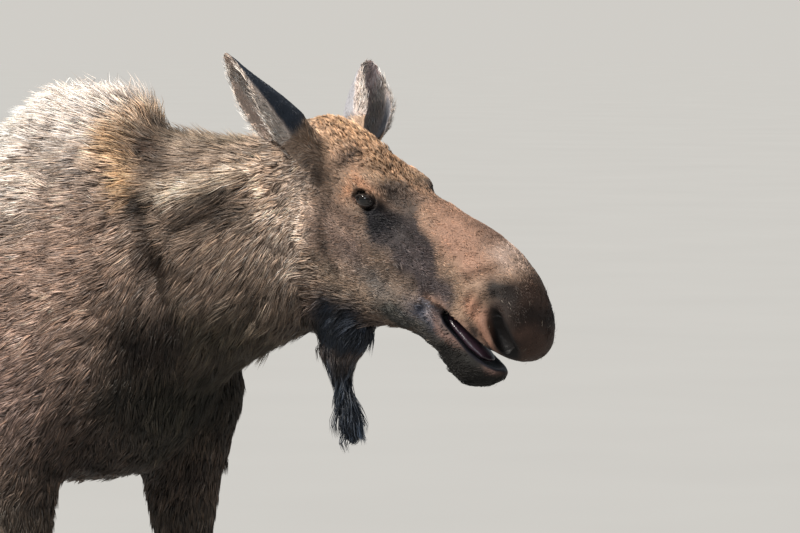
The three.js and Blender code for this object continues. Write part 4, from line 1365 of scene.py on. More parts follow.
@dataclass
class Coat:
    """Locks of hair all over the hide, joined in a few pieces."""

    bearings: Bearings
    hide: bpy.types.Object
    fields: CoatFields
    finish: bpy.types.Material
    density: float = 1.0
    patch: float = 0.003
    short: float = 0.074  # locks under this length have one section, over the next three
    long: float = 0.095
    leaders: int = 22  # one lock in so many leads a clump
    shoulder_from: float = -0.28  # where the coat is parted, in the body's axes
    hump_over: float = 1.74
    hump_reach: float = 0.30

    def build(self) -> list[bpy.types.Object]:
        """Makes every piece of the coat."""
        self.tree = tree_of(self.hide.data)
        locks = self._plant(np.random.default_rng(SEED + 100))
        LOG.info("coat: %d locks", len(locks.root))
        made = []
        for index, piece in enumerate(PIECES):
            mine = locks.only(locks.piece == index)
            if len(mine.root):
                made.append(self._join(piece, mine, np.random.default_rng(SEED + 200 + index)))
        return made

    def _plant(self, rng: Chance) -> Locks:
        """Picks the roots, evenly and as thick as the tables say."""
        mesh, fields = self.hide.data, self.fields
        count = len(mesh.polygons)
        corners = read_rows(mesh.polygons, "vertices", 3)
        points = fields.places.points
        a, b, c = (points[corners[:, k]] for k in range(3))
        area = np.linalg.norm(np.cross(b - a, c - a), axis=1) / 2
        crowd = fields.traits["crowd"][corners].mean(axis=1) * self.density
        order = self._near_order((a + b + c) / 3)
        weight = (area * crowd)[order]
        ends = np.cumsum(weight)
        total = int(ends[-1])
        at = (np.arange(total) + rng.uniform(0, 1, total)) * (ends[-1] / total)
        face = order[np.minimum(np.searchsorted(ends, at), count - 1)]
        r, s = np.sqrt(rng.uniform(0, 1, total)), rng.uniform(0, 1, total)
        share = np.stack([1 - r, r * (1 - s), r * s], axis=1)
        own = corners[face]

        def read(values: Array) -> Array:
            """Values at the roots."""
            if values.ndim == 1:
                return (values[own] * share).sum(axis=1)
            return (values[own] * share[:, :, None]).sum(axis=1)

        root, normal = read(points), unit(read(fields.normals))
        traits = {name: read(value) for name, value in fields.traits.items()}
        uv = read_rows(mesh.uv_layers["OFBake"].data, "uv", 2).reshape(-1, 3, 2)[face]
        shares = read(fields.shares)
        whisker = rng.uniform(0, 1, total) < WHISKER_SHARE * read(fields.whisker)
        for name, value in WHISKER.items():
            traits[name] = np.where(whisker, value, traits[name])
        locks = Locks(
            root=root,
            normal=normal,
            way=along_surface(read(fields.way), normal),
            length=traits["length"] * rng.uniform(0.72, 1.25, total),
            lift=traits["lift"] * rng.uniform(0.6, 1.4, total),
            width=traits["width"] * rng.uniform(0.75, 1.25, total),
            stray=traits["stray"],
            clump=traits["clump"],
            curl=traits["curl"],
            dark=read(fields.root),
            pale=np.where(whisker[:, None], linear(*WHISKER_COLOUR), read(fields.tip)),
            unwrap=(uv * share[:, :, None]).sum(axis=1),
            piece=self._sort(root, shares),
        )
        return locks

    @staticmethod
    def _near_order(points: Array) -> Array:
        """An order in which neighbours follow each other."""
        cell = ((points - points.min(axis=0)) / 0.02).astype(np.int64)
        code = np.zeros(len(cell), np.int64)
        for bit in range(9):
            for axis in range(3):
                code |= ((cell[:, axis] >> bit) & 1) << (3 * bit + axis)
        return np.argsort(code, kind="stable")

    def _sort(self, root: Array, shares: Array) -> Array:
        """Which piece each lock goes to."""
        part = shares.argmax(axis=1)
        body = root - self.bearings.hump
        left = body[:, 1] > 0
        head_left = ((root - self.bearings.poll) @ self.bearings.turn.T)[:, 1] > 0

        def pick(*parts: Part) -> Array:
            """Locks on the given parts."""
            return np.isin(part, [PARTS.index(p) for p in parts])

        front = body[:, 0] > self.shoulder_from
        high = (body[:, 2] > self.hump_over) & (np.abs(body[:, 0]) < self.hump_reach)
        neck, face = pick(Part.NECK), pick(Part.HEAD, Part.JAW)
        out = np.full(len(root), PIECES.index(CoatPiece.SIDE_RIGHT))
        for mine, piece in (
            (left, CoatPiece.SIDE_LEFT),
            (front & left, CoatPiece.SHOULDER_LEFT),
            (front & ~left, CoatPiece.SHOULDER_RIGHT),
            (neck & left, CoatPiece.NECK_LEFT),
            (neck & ~left, CoatPiece.NECK_RIGHT),
            (high, CoatPiece.MANE),
            (face & head_left, CoatPiece.FACE_LEFT),
            (face & ~head_left, CoatPiece.FACE_RIGHT),
            (pick(Part.EAR), CoatPiece.EARS),
            (pick(Part.BELL), CoatPiece.BELL),
            (pick(Part.FORELEG), CoatPiece.FORELEGS),
            (pick(Part.HINDLEG, Part.TAIL), CoatPiece.HINDLEGS),
        ):
            out[mine] = PIECES.index(piece)
        return out

    def _join(
        self, piece: CoatPiece, locks: Locks, rng: Chance
    ) -> bpy.types.Object:
        """Makes one piece of the coat.

        Args:
            piece: Which one.
            locks: The locks that it holds.
            rng: Where its chance comes from.

        Returns:
            The piece, dressed and riding on the body.
        """
        sections = np.where(locks.length < self.short, 1, np.where(locks.length < self.long, 2, 3))
        batches = [
            self._shape(locks.only(sections == k), k, rng)
            for k in (1, 2, 3)
            if (sections == k).any()
        ]
        mesh = bpy.data.meshes.new(piece.value)
        start, corner, faces, loops = 0, 0, [], []
        for batch in batches:
            loops.append(batch["loops"] + start)
            faces.append(batch["starts"] + corner)
            start += len(batch["points"])
            corner += len(batch["loops"])
        points = np.concatenate([b["points"] for b in batches])
        loops_all = np.concatenate(loops)
        mesh.vertices.add(len(points))
        mesh.loops.add(len(loops_all))
        mesh.polygons.add(sum(len(f) for f in faces))
        mesh.vertices.foreach_set("co", points.astype(np.float32).ravel())
        mesh.loops.foreach_set("vertex_index", loops_all.astype(np.int32))
        mesh.polygons.foreach_set("loop_start", np.concatenate(faces).astype(np.int32))
        mesh.update(calc_edges=True)
        for name, key in (("OFBake", "bake"), ("strand", "strand")):
            layer = mesh.uv_layers.new(name=name)
            uv = np.concatenate([b[key] for b in batches])[loops_all]
            layer.data.foreach_set("uv", uv.astype(np.float32).ravel())
        write_pelt_and_shade(mesh, np.concatenate([b["colour"] for b in batches]))
        obj = new_piece(piece.value, mesh)
        mesh.materials.append(self.finish)
        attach(obj, ROOT_BODY)
        triangles = int(sum(b["triangles"] for b in batches))
        LOG.info("%s: %d locks, %d triangles", piece.value, len(locks.root), triangles)
        return obj

    def _shape(self, locks: Locks, sections: int, rng: Chance) -> dict[str, Array]:
        """Shapes locks with the same number of sections.

        Args:
            locks: The locks.
            sections: How many three-sided sections each has between root and tip.
            rng: Where their chance comes from.

        Returns:
            Points, corners, unwraps and colours.
        """
        count = len(locks.root)
        stations = sections + 2
        along = np.linspace(0, 1, stations) ** (1.6 if sections == 1 else 1.1)
        near = self._leaders(locks)
        turn = rng.normal(0, 0.75, count) * locks.stray + rng.normal(0, 0.13, count)[near]
        steady = ease(1.0, 0.4, locks.lift)
        locks.lift = locks.lift * np.exp(rng.normal(0, 0.30, count)[near] * steady)
        aside = np.cross(locks.way, locks.normal)
        way = unit(locks.way * np.cos(turn)[:, None] + aside * np.sin(turn)[:, None])
        line, normals = self._run(locks, way, along, rng)
        line = self._clumped(locks, line, along, near)
        fat = FATNESS[sections]
        roll = rng.normal(0, 0.45, count)
        verts = [line[:, 0]]
        across, run = [np.full(count, 0.5)], [np.zeros(count)]
        for k in range(1, sections + 1):
            forward = unit(line[:, k + 1] - line[:, k - 1])
            side = unit(np.cross(forward, normals[:, k]))
            over = np.cross(side, forward)
            c, s = np.cos(roll)[:, None], np.sin(roll)[:, None]
            side, over = side * c + over * s, over * c - side * s
            half = (locks.width * fat[k] / 2)[:, None]
            verts += [line[:, k] - side * half, line[:, k] + side * half, line[:, k] + over * half]
            across += [np.zeros(count), np.ones(count), np.full(count, 0.5)]
            run += [np.full(count, along[k])] * 3
        verts.append(line[:, -1])
        across.append(np.full(count, 0.5))
        run.append(np.ones(count))
        per = len(verts)
        points = np.stack(verts, axis=1).reshape(-1, 3)
        across, run = np.stack(across, 1), np.stack(run, 1)
        bake = locks.unwrap[:, None, :] + self.patch * (np.stack([across, run], 2) - 0.5)
        faces = self._faces(sections)
        sizes = np.array([len(face) for face in faces])
        flat = np.array([i for face in faces for i in face])
        loops = (flat[None, :] + (np.arange(count) * per)[:, None]).ravel()
        starts = np.concatenate([[0], np.cumsum(sizes)[:-1]])
        starts = (starts[None, :] + (np.arange(count) * sizes.sum())[:, None]).ravel()
        shade = self._shade(locks, run, near, rng)
        return {
            "points": points,
            "loops": loops,
            "starts": starts,
            "bake": np.clip(bake, 0, 1).reshape(-1, 2),
            "strand": np.stack([across, run], axis=2).reshape(-1, 2),
            "colour": shade.reshape(-1, 3),
            "triangles": np.array(count * (sizes - 2).sum()),
        }

    @staticmethod
    def _faces(sections: int) -> list[tuple[int, ...]]:
        """The faces of one lock: a fan at the root, sleeves, and a fan at the tip."""
        ring = ((0, 2), (2, 1), (1, 0))
        faces: list[tuple[int, ...]] = [(0, 1 + q, 1 + p) for p, q in ring]
        for k in range(sections - 1):
            low, high = 1 + 3 * k, 4 + 3 * k
            faces += [(low + p, low + q, high + q, high + p) for p, q in ring]
        last, tip = 1 + 3 * (sections - 1), 1 + 3 * sections
        return faces + [(last + p, last + q, tip) for p, q in ring]

    def _run(
        self, locks: Locks, way: Array, along: Array, rng: Chance
    ) -> tuple[Array, Array]:
        """Leads each lock over the hide from its root to its tip.

        Args:
            locks: The locks.
            way: The way that each sets out.
            along: Where the stations are, from 0 to 1.
            rng: Where their chance comes from.

        Returns:
            Points and normals at the stations.
        """
        count = len(way)
        base, normal = locks.root.copy(), locks.normal.copy()
        height = np.full(count, -0.0006)
        phase = rng.uniform(0, 2 * math.pi, count)
        line, normals = [base + normal * height[:, None]], [normal]
        find = self.tree.find_nearest
        for k in range(1, len(along)):
            step = locks.length * (along[k] - along[k - 1])
            bend = 1.25 - 0.7 * along[k]
            angle = locks.lift * bend
            there = base + way * (step * np.cos(angle))[:, None]
            found = [find(p, 0.08) for p in there.tolist()]
            base = np.array([f[0] if f[0] is not None else p for f, p in zip(found, there)])
            height = height + step * np.sin(angle)
            way = along_surface(way, normal)
            side = np.cross(way, normal)
            wave = np.sin(phase + along[k] * 5.0) * locks.curl * locks.width
            line.append(base + normal * height[:, None] + side * wave[:, None])
            normals.append(normal)
            face = np.array([f[1] if f[1] is not None else n for f, n in zip(found, normal)])
            normal = unit(0.5 * normal + 0.5 * face)
        return np.stack(line, 1), np.stack(normals, 1)

    def _leaders(self, locks: Locks) -> Array:
        """The lock that leads each one's clump."""
        leader = np.arange(0, len(locks.root), self.leaders)
        tree = KDTree(len(leader))
        for index, point in enumerate(locks.root[leader].tolist()):
            tree.insert(point, index)
        tree.balance()
        return leader[np.array([tree.find(p)[1] for p in locks.root.tolist()])]

    @staticmethod
    def _clumped(locks: Locks, line: Array, along: Array, near: Array) -> Array:
        """Draws the tips of neighbours together."""
        pull = locks.clump[:, None] * (along[None, :] ** 1.5)
        gap = line[near] - line
        far = np.linalg.norm(gap, axis=2, keepdims=True)
        gap = gap * np.minimum(1.0, 0.03 / np.maximum(far, 1e-9))
        return line + gap * pull[:, :, None]

    @staticmethod
    def _shade(locks: Locks, run: Array, near: Array, rng: Chance) -> Array:
        """Colours from root to tip, the root darker partly as painted shade deep in the coat, with
        some locks and clumps darker and some paler.
        """
        count = len(locks.root)
        # each lock darkens towards its root, partly as painted shade deep in the coat
        mix = ease(0.0, 0.75, run)[:, :, None]
        short = ease(0.022, 0.009, locks.length)
        dark = locks.dark + TONES.short_pale * short[:, None] * (locks.pale - locks.dark)
        colour = dark[:, None, :] * (1 - mix) + locks.pale[:, None, :] * mix
        behind = locks.root[:, 0] < CALM_BEHIND
        calm = (1 - TONES.even_behind * behind) * (1 - TONES.even_short * short)
        own, shared = rng.normal(0, TONES.lock, count), rng.normal(0, TONES.clump, count)
        tone = np.exp((own + shared[near]) * calm)
        for index, (depth, size) in enumerate(TONES.patches):
            tone *= 1 + depth * ripple(locks.root, size, SEED + 31 + index)
        chance = rng.uniform(0, 1, count)
        tone = np.where(chance > TONES.pale_over, tone * (1 + 0.45 * calm), tone)
        tone = np.where(chance < TONES.dark_under, tone * (1 - 0.50 * calm), tone)
        warm = rng.normal(0, TONES.warmth, count)
        cast = np.stack([1 + warm, np.ones(count), 1 - warm], axis=1)
        return np.clip(colour * tone[:, None, None] * cast[:, None, :], 0, 0.95)


# Finishes


class Graph:
    """A material's nodes, wired by name."""

    def __init__(self, name: str) -> None:
        """Starts a material with its shader and its output."""
        self.material = bpy.data.materials.new(name)
        self.material.use_nodes = True
        self.tree = self.material.node_tree
        self.tree.nodes.clear()
        out = self.tree.nodes.new("ShaderNodeOutputMaterial")
        self.shader = self.tree.nodes.new("ShaderNodeBsdfPrincipled")
        self.wire(self.shader.outputs["BSDF"], out.inputs["Surface"])

    def wire(self, source: Socket, target: Socket) -> None:
        """Joins two sockets."""
        self.tree.links.new(source, target)

    def node(self, kind: str, **values: object) -> bpy.types.Node:
        """Adds a node with the given settings."""
        made = self.tree.nodes.new("ShaderNode" + kind)
        for name, value in values.items():
            setattr(made, name, value)
        return made

    def fix(self, **values: float) -> None:
        """Sets the shader's own constants, with _ for a space in a name."""
        for name, value in values.items():
            self.shader.inputs[name.replace("_", " ")].default_value = value

    def feed(self, name: str, source: Socket) -> None:
        """Wires a socket to one of the shader's."""
        self.wire(source, self.shader.inputs[name])

    def ramp(
        self, value: Socket, low: tuple[float, Array], high: tuple[float, Array]
    ) -> bpy.types.Node:
        """A run of colour between two places.

        Args:
            value: What places a point on it.
            low: The lower place and its colour.
            high: The higher place and its colour.

        Returns:
            The node, so that more colours can be put in.
        """
        made = self.node("ValToRGB")
        for stop, (place, colour) in zip(made.color_ramp.elements, (low, high)):
            stop.position, stop.color = place, rgba(colour)
        self.wire(value, made.inputs["Fac"])
        return made

    def stretched(self, vector: Socket, scale: Triple) -> Socket:
        """A place with each of its axes scaled."""
        made = self.node("Mapping")
        made.inputs["Scale"].default_value = scale
        self.wire(vector, made.inputs["Vector"])
        return made.outputs["Vector"]

    def attribute(self, name: str) -> Socket:
        """A colour that the mesh carries."""
        return self.node("Attribute", attribute_name=name).outputs["Color"]

    def number(self, name: str) -> Socket:
        """A number that the mesh carries."""
        return self.node("Attribute", attribute_name=name).outputs["Fac"]

    def place(self) -> Socket:
        """The point in the object's own axes."""
        return self.node("TexCoord").outputs["Object"]

    def noise(
        self, vector: Socket, scale: float, detail: float = 3.0, rough: float = 0.55
    ) -> Socket:
        """Noise of a given fineness."""
        made = self.node("TexNoise")
        made.inputs["Scale"].default_value = scale
        made.inputs["Detail"].default_value = detail
        made.inputs["Roughness"].default_value = rough
        self.wire(vector, made.inputs["Vector"])
        return made.outputs["Fac"]

    def span(
        self, value: Socket, low: float, high: float, to_low: float, to_high: float
    ) -> Socket:
        """A value moved from one range to another."""
        made = self.node("MapRange")
        for name, number in zip(
            ("From Min", "From Max", "To Min", "To Max"), (low, high, to_low, to_high)
        ):
            made.inputs[name].default_value = number
        self.wire(value, made.inputs["Value"])
        return made.outputs["Result"]

    def scaled(
        self, colour: Socket, factor: Socket
    ) -> Socket:
        """A colour made lighter or darker by a factor."""
        made = self.node("VectorMath", operation="SCALE")
        self.wire(colour, made.inputs[0])
        self.wire(factor, made.inputs["Scale"])
        return made.outputs["Vector"]

    def bump(
        self, height: Socket, distance: float, strength: float
    ) -> Socket:
        """Roughens the surface by a height."""
        made = self.node("Bump")
        made.inputs["Distance"].default_value = distance
        made.inputs["Strength"].default_value = strength
        self.wire(height, made.inputs["Height"])
        self.wire(made.outputs["Normal"], self.shader.inputs["Normal"])
        return made.outputs["Normal"]


@dataclass(frozen=True)
class HairFinish:
    """Hair: the lock's colour with its painted shade at the root, streaked along its length."""

    roughness: float = 0.50
    gloss: float = 0.27
    streak: float = 26.0

    def make(self) -> bpy.types.Material:
        """Builds the material."""
        graph = Graph("hair")
        strand = graph.node("UVMap", uv_map="strand").outputs["UV"]
        streaks = graph.noise(graph.stretched(strand, (self.streak, 2.5, 1.0)), 1.0, 2.0)
        fine = graph.noise(graph.place(), 420.0, 2.0)
        tone = graph.span(fine, 0.25, 0.75, 0.82, 1.18)
        colour = graph.scaled(graph.attribute("pelt"), tone)
        shade = graph.span(streaks, 0.3, 0.7, 0.85, 1.15)
        graph.feed("Base Color", graph.scaled(colour, shade))
        graph.fix(Roughness=self.roughness)
        graph.fix(Specular_IOR_Level=self.gloss)
        graph.bump(streaks, 0.0004, 0.5)
        return graph.material


@dataclass(frozen=True)
class HideFinish:
    """Skin with short hair: its markings and painted shade, a fine nap, and a damp sheen where it
    is bare.
    """

    dry: float = 0.68
    wet: float = 0.38

    def make(self) -> bpy.types.Material:
        """Builds the material."""
        graph = Graph("hide")
        place = graph.place()
        nap = graph.noise(place, 520.0, 3.0, 0.7)
        blotch = graph.noise(place, 60.0, 3.0)
        tone = graph.span(nap, 0.25, 0.75, 0.62, 1.30)
        colour = graph.scaled(graph.attribute("pelt"), tone)
        wide = graph.span(blotch, 0.3, 0.7, 0.88, 1.12)
        graph.feed("Base Color", graph.scaled(colour, wide))
        rough = graph.span(graph.number("damp"), 0.0, 1.0, self.dry, self.wet)
        graph.feed("Roughness", rough)
        graph.fix(Specular_IOR_Level=0.20)
        graph.bump(nap, 0.0011, 0.8)
        return graph.material


@dataclass(frozen=True)
class EyeFinish:
    """A dark brown eye: a long pupil, a rayed iris and a wet clear front."""

    iris: Triple = (20, 12, 8)
    rim: Triple = (6, 5, 4)
    white: Triple = (16, 11, 10)

    def make(self) -> bpy.types.Material:
        """Builds the material."""
        graph = Graph("eye")
        flat = graph.node("UVMap", uv_map="gaze").outputs["UV"]
        parts = graph.node("SeparateXYZ")
        graph.wire(flat, parts.inputs["Vector"])
        long = graph.span(parts.outputs["X"], 0.0, 1.0, -1.0, 1.0)
        tall = graph.span(parts.outputs["Y"], 0.0, 1.0, -1.0, 1.0)
        join = graph.node("CombineXYZ")
        graph.wire(long, join.inputs["X"])
        graph.wire(tall, join.inputs["Y"])
        size = graph.node("VectorMath", operation="LENGTH")
        graph.wire(join.outputs["Vector"], size.inputs[0])
        slot = graph.node("VectorMath", operation="LENGTH")
        graph.wire(graph.stretched(join.outputs["Vector"], (1.0, 1.9, 1.0)), slot.inputs[0])
        rays = graph.noise(join.outputs["Vector"], 14.0, 4.0, 0.6)
        ends = (0.0, linear(*self.iris)), (1.0, linear(*self.white))
        ramp = graph.ramp(size.outputs["Value"], *ends)
        for place, colour in ((0.66, self.iris), (0.80, self.rim), (0.90, self.rim)):
            ramp.color_ramp.elements.new(place).color = rgba(linear(*colour))
        bright = graph.span(rays, 0.3, 0.7, 0.55, 1.45)
        base = graph.scaled(ramp.outputs["Color"], bright)
        pupil = graph.span(slot.outputs["Value"], 0.42, 0.50, 0.04, 1.0)
        graph.feed("Base Color", graph.scaled(base, pupil))
        graph.fix(Roughness=0.60)
        graph.fix(Specular_IOR_Level=0.04)
        graph.fix(Coat_Weight=1.0)
        graph.fix(Coat_Roughness=0.03)
        return graph.material


@dataclass(frozen=True)
class HornFinish:
    """Horn of the hoofs: dark, ringed by growth and worn paler at the ground."""

    dark: Triple = (44, 40, 38)
    worn: Triple = (104, 94, 84)

    def make(self) -> bpy.types.Material:
        """Builds the material."""
        graph = Graph("horn")
        place = graph.place()
        height = graph.node("SeparateXYZ")
        graph.wire(place, height.inputs["Vector"])
        rings = graph.noise(graph.stretched(place, (18.0, 18.0, 210.0)), 1.0, 2.0)
        grain = graph.noise(place, 150.0, 4.0)
        rise = graph.span(height.outputs["Z"], 0.002, 0.030, 0.0, 1.0)
        ramp = graph.ramp(rise, (0.0, linear(*self.worn)), (1.0, linear(*self.dark)))
        tone = graph.span(grain, 0.3, 0.7, 0.75, 1.25)
        graph.feed("Base Color", graph.scaled(ramp.outputs["Color"], tone))
        graph.feed("Roughness", graph.span(grain, 0.3, 0.7, 0.38, 0.60))
        graph.bump(rings, 0.0012, 0.7)
        return graph.material


@dataclass(frozen=True)
class TongueFinish:
    """A wet, dark tongue with small bumps."""

    colour: Triple = (48, 34, 43)

    def make(self) -> bpy.types.Material:
        """Builds the material."""
        graph = Graph("tongue")
        place = graph.place()
        bumps = graph.node("TexVoronoi")
        bumps.inputs["Scale"].default_value = 520.0
        graph.wire(place, bumps.inputs["Vector"])
        cloud = graph.noise(place, 90.0, 3.0)
        pale = linear(*self.colour)
        ramp = graph.ramp(cloud, (0.3, pale * 0.45), (0.7, pale))
        graph.feed("Base Color", ramp.outputs["Color"])
        graph.fix(Roughness=0.30)
        graph.fix(Coat_Weight=0.15)
        graph.bump(bumps.outputs["Distance"], 0.0006, 0.6)
        return graph.material


# Eyes, tongue and hoofs


@dataclass
class Eye:
    """One eyeball with the bulge of its clear front."""

    lids: Lids
    bulge: float = 0.0016
    front: float = 0.72  # cosine where the bulge begins
    iris: float = 0.0175  # how far from the middle the drawing of the eye reaches

    def build(self, finish: bpy.types.Material) -> bpy.types.Object:
        """Makes the ball, its pole turned to where it looks."""
        middle, gaze, along, up = self.lids.axes()
        shape = bmesh.new()
        bmesh.ops.create_uvsphere(shape, u_segments=40, v_segments=28, radius=self.lids.ball)
        flat = shape.loops.layers.uv.new("gaze")
        for vert in shape.verts:
            way = np.array(vert.co.normalized())
            rise = ease(self.front, 1.0, np.array(way[2])).item()
            size = self.lids.ball + self.bulge * rise
            vert.co = Vector(middle + (along * way[0] + up * way[1] + gaze * way[2]) * size)
        for face in shape.faces:
            face.smooth = True
            for loop in face.loops:
                away = np.array(loop.vert.co) - middle
                u, v = away @ along, away @ up
                uv = (0.5 + u / (2 * self.iris), 0.5 + v / (2 * self.iris))
                uv = (1.0, 1.0) if away @ gaze < 0 else uv
                loop[flat].uv = (min(max(uv[0], -1.0), 2.0), min(max(uv[1], -1.0), 2.0))
        bmesh.ops.recalc_face_normals(shape, faces=shape.faces)
        side = "left" if self.lids.side > 0 else "right"
        obj = piece_of(f"eyeball_{side}", shape)
        obj.data.materials.append(finish)
        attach(obj, ROOT_BODY)
        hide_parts(f"eye_{side}")
        return obj


@dataclass
class SmoothedSolid:
    """A copy of a small solid with its facets rounded off."""

    node: str
    name: str
    slot: str
    voxel: float = 0.0025
    rounds: int = 10
    share: float = 0.5
    grounded: float = 0.002  # a solid that comes this low stands on the floor
    sole: float = 0.0035  # what lies under this is flattened

    def build(self, finish: bpy.types.Material) -> bpy.types.Object:
        """Makes the copy in place of the solid."""
        obj = piece_of(self.name, merged_copy(self.node))
        even_net(obj, self.voxel)
        surface = Surface(obj.data)
        floor = surface.points[:, 2].min()
        surface.points = surface.blur(surface.points, self.rounds, self.share)
        if floor < self.grounded:
            sole = surface.points[:, 2] < self.sole
            surface.points[sole, 2] = floor
        surface.store()
        obj.data.polygons.foreach_set("use_smooth", [True] * len(obj.data.polygons))
        obj.data.materials.append(finish)
        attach(obj, ROOT_BODY)
        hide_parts(self.node)
        return obj


# Camera, light and floor


@dataclass
class Studio:
    """A pale floor, pale air, a soft key light high on the right, a pane and the camera."""

    azimuth: float = math.radians(45)
    elevation: float = math.radians(3)
    distance: float = 9.5
    target: Triple = (0.678, 0.424, 1.480)
    field_of_view: float = math.radians(9.63)
    floor_size: float = 600.0
    floor_tone: float = 0.28
    air: float = 0.34
    air_colour: Triple = (0.84, 0.93, 1.0)
    key: float = 8.0
    key_colour: Triple = (1.0, 0.95, 0.87)
    softness: float = math.radians(20)
    light_from: Triple = (-0.30, -0.56, 0.77)
    window: float = 16.0
    window_size: float = 0.7
    window_away: float = 3.0
    window_from: Triple = (0.33, -0.83, 0.45)

    def build(self) -> None:
        """Sets everything up."""
        self._camera()
        self._floor()
        self._light()

    def _camera(self) -> None:
        """Aims the camera at the head and shoulder."""
        data = bpy.data.cameras.new("camera")
        camera = new_piece("camera", data)
        level = math.cos(self.elevation)
        ahead, aside = math.sin(self.azimuth) * level, -math.cos(self.azimuth) * level
        away = Vector((ahead, aside, math.sin(self.elevation)))
        camera.location = Vector(self.target) + away * self.distance
        camera.rotation_euler = away.to_track_quat("Z", "Y").to_euler()
        data.sensor_width = 36.0
        data.angle = self.field_of_view
        data.clip_end = 200.0
        bpy.context.scene.camera = camera

    def _floor(self) -> None:
        """Lays a wide pale floor."""
        shape = bmesh.new()
        bmesh.ops.create_circle(
            shape, cap_ends=True, cap_tris=True, segments=96, radius=self.floor_size
        )
        floor = piece_of("studio_floor", shape)
        graph = Graph("studio_paint")
        low, high = self.floor_tone - 0.01, self.floor_tone + 0.01
        tone = graph.span(graph.noise(graph.place(), 0.6, 2.0), 0.0, 1.0, low, high)
        mix = graph.node("CombineColor")
        for name in ("Red", "Green", "Blue"):
            graph.wire(tone, mix.inputs[name])
        graph.feed("Base Color", mix.outputs["Color"])
        graph.fix(Roughness=1.0)
        graph.fix(Specular_IOR_Level=0.0)
        floor.data.materials.append(graph.material)

    def _light(self) -> None:
        """Hangs a soft key light high behind the animal's right, and lights the air."""
        world = bpy.data.worlds.new("studio_air")
        world.use_nodes = True
        tree = world.node_tree
        air = tree.nodes["Background"]
        air.inputs["Color"].default_value = (*self.air_colour, 1.0)
        air.inputs["Strength"].default_value = self.air
        seen = tree.nodes.new("ShaderNodeBackground")
        sun = self.key * unit(np.array(self.light_from))[2] / math.pi
        lit = np.array(self.key_colour) * sun + np.array(self.air_colour) * self.air
        seen.inputs["Color"].default_value = rgba(lit * self.floor_tone)
        path = tree.nodes.new("ShaderNodeLightPath")
        mix = tree.nodes.new("ShaderNodeMixShader")
        tree.links.new(path.outputs["Is Camera Ray"], mix.inputs["Fac"])
        tree.links.new(air.outputs["Background"], mix.inputs[1])
        tree.links.new(seen.outputs["Background"], mix.inputs[2])
        tree.links.new(mix.outputs["Shader"], tree.nodes["World Output"].inputs["Surface"])
        bpy.context.scene.world = world
        data = bpy.data.lights.new("key", "SUN")
        data.energy = self.key
        data.angle = self.softness
        data.color = self.key_colour
        lamp = new_piece("key", data)
        lamp.rotation_euler = Vector(self.light_from).to_track_quat("Z", "Y").to_euler()
        pane = bpy.data.lights.new("window", "AREA")
        pane.shape = "SQUARE"
        pane.size = self.window_size
        pane.energy = self.window
        pane.color = self.air_colour
        lit_pane = new_piece("window", pane)
        face = Vector(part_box("eye_right")[0])
        way = Vector(self.window_from).normalized()
        lit_pane.location = face + way * self.window_away
        lit_pane.rotation_euler = way.to_track_quat("Z", "Y").to_euler()
        bpy.context.scene.view_settings.view_transform = "Standard"


# Putting it together


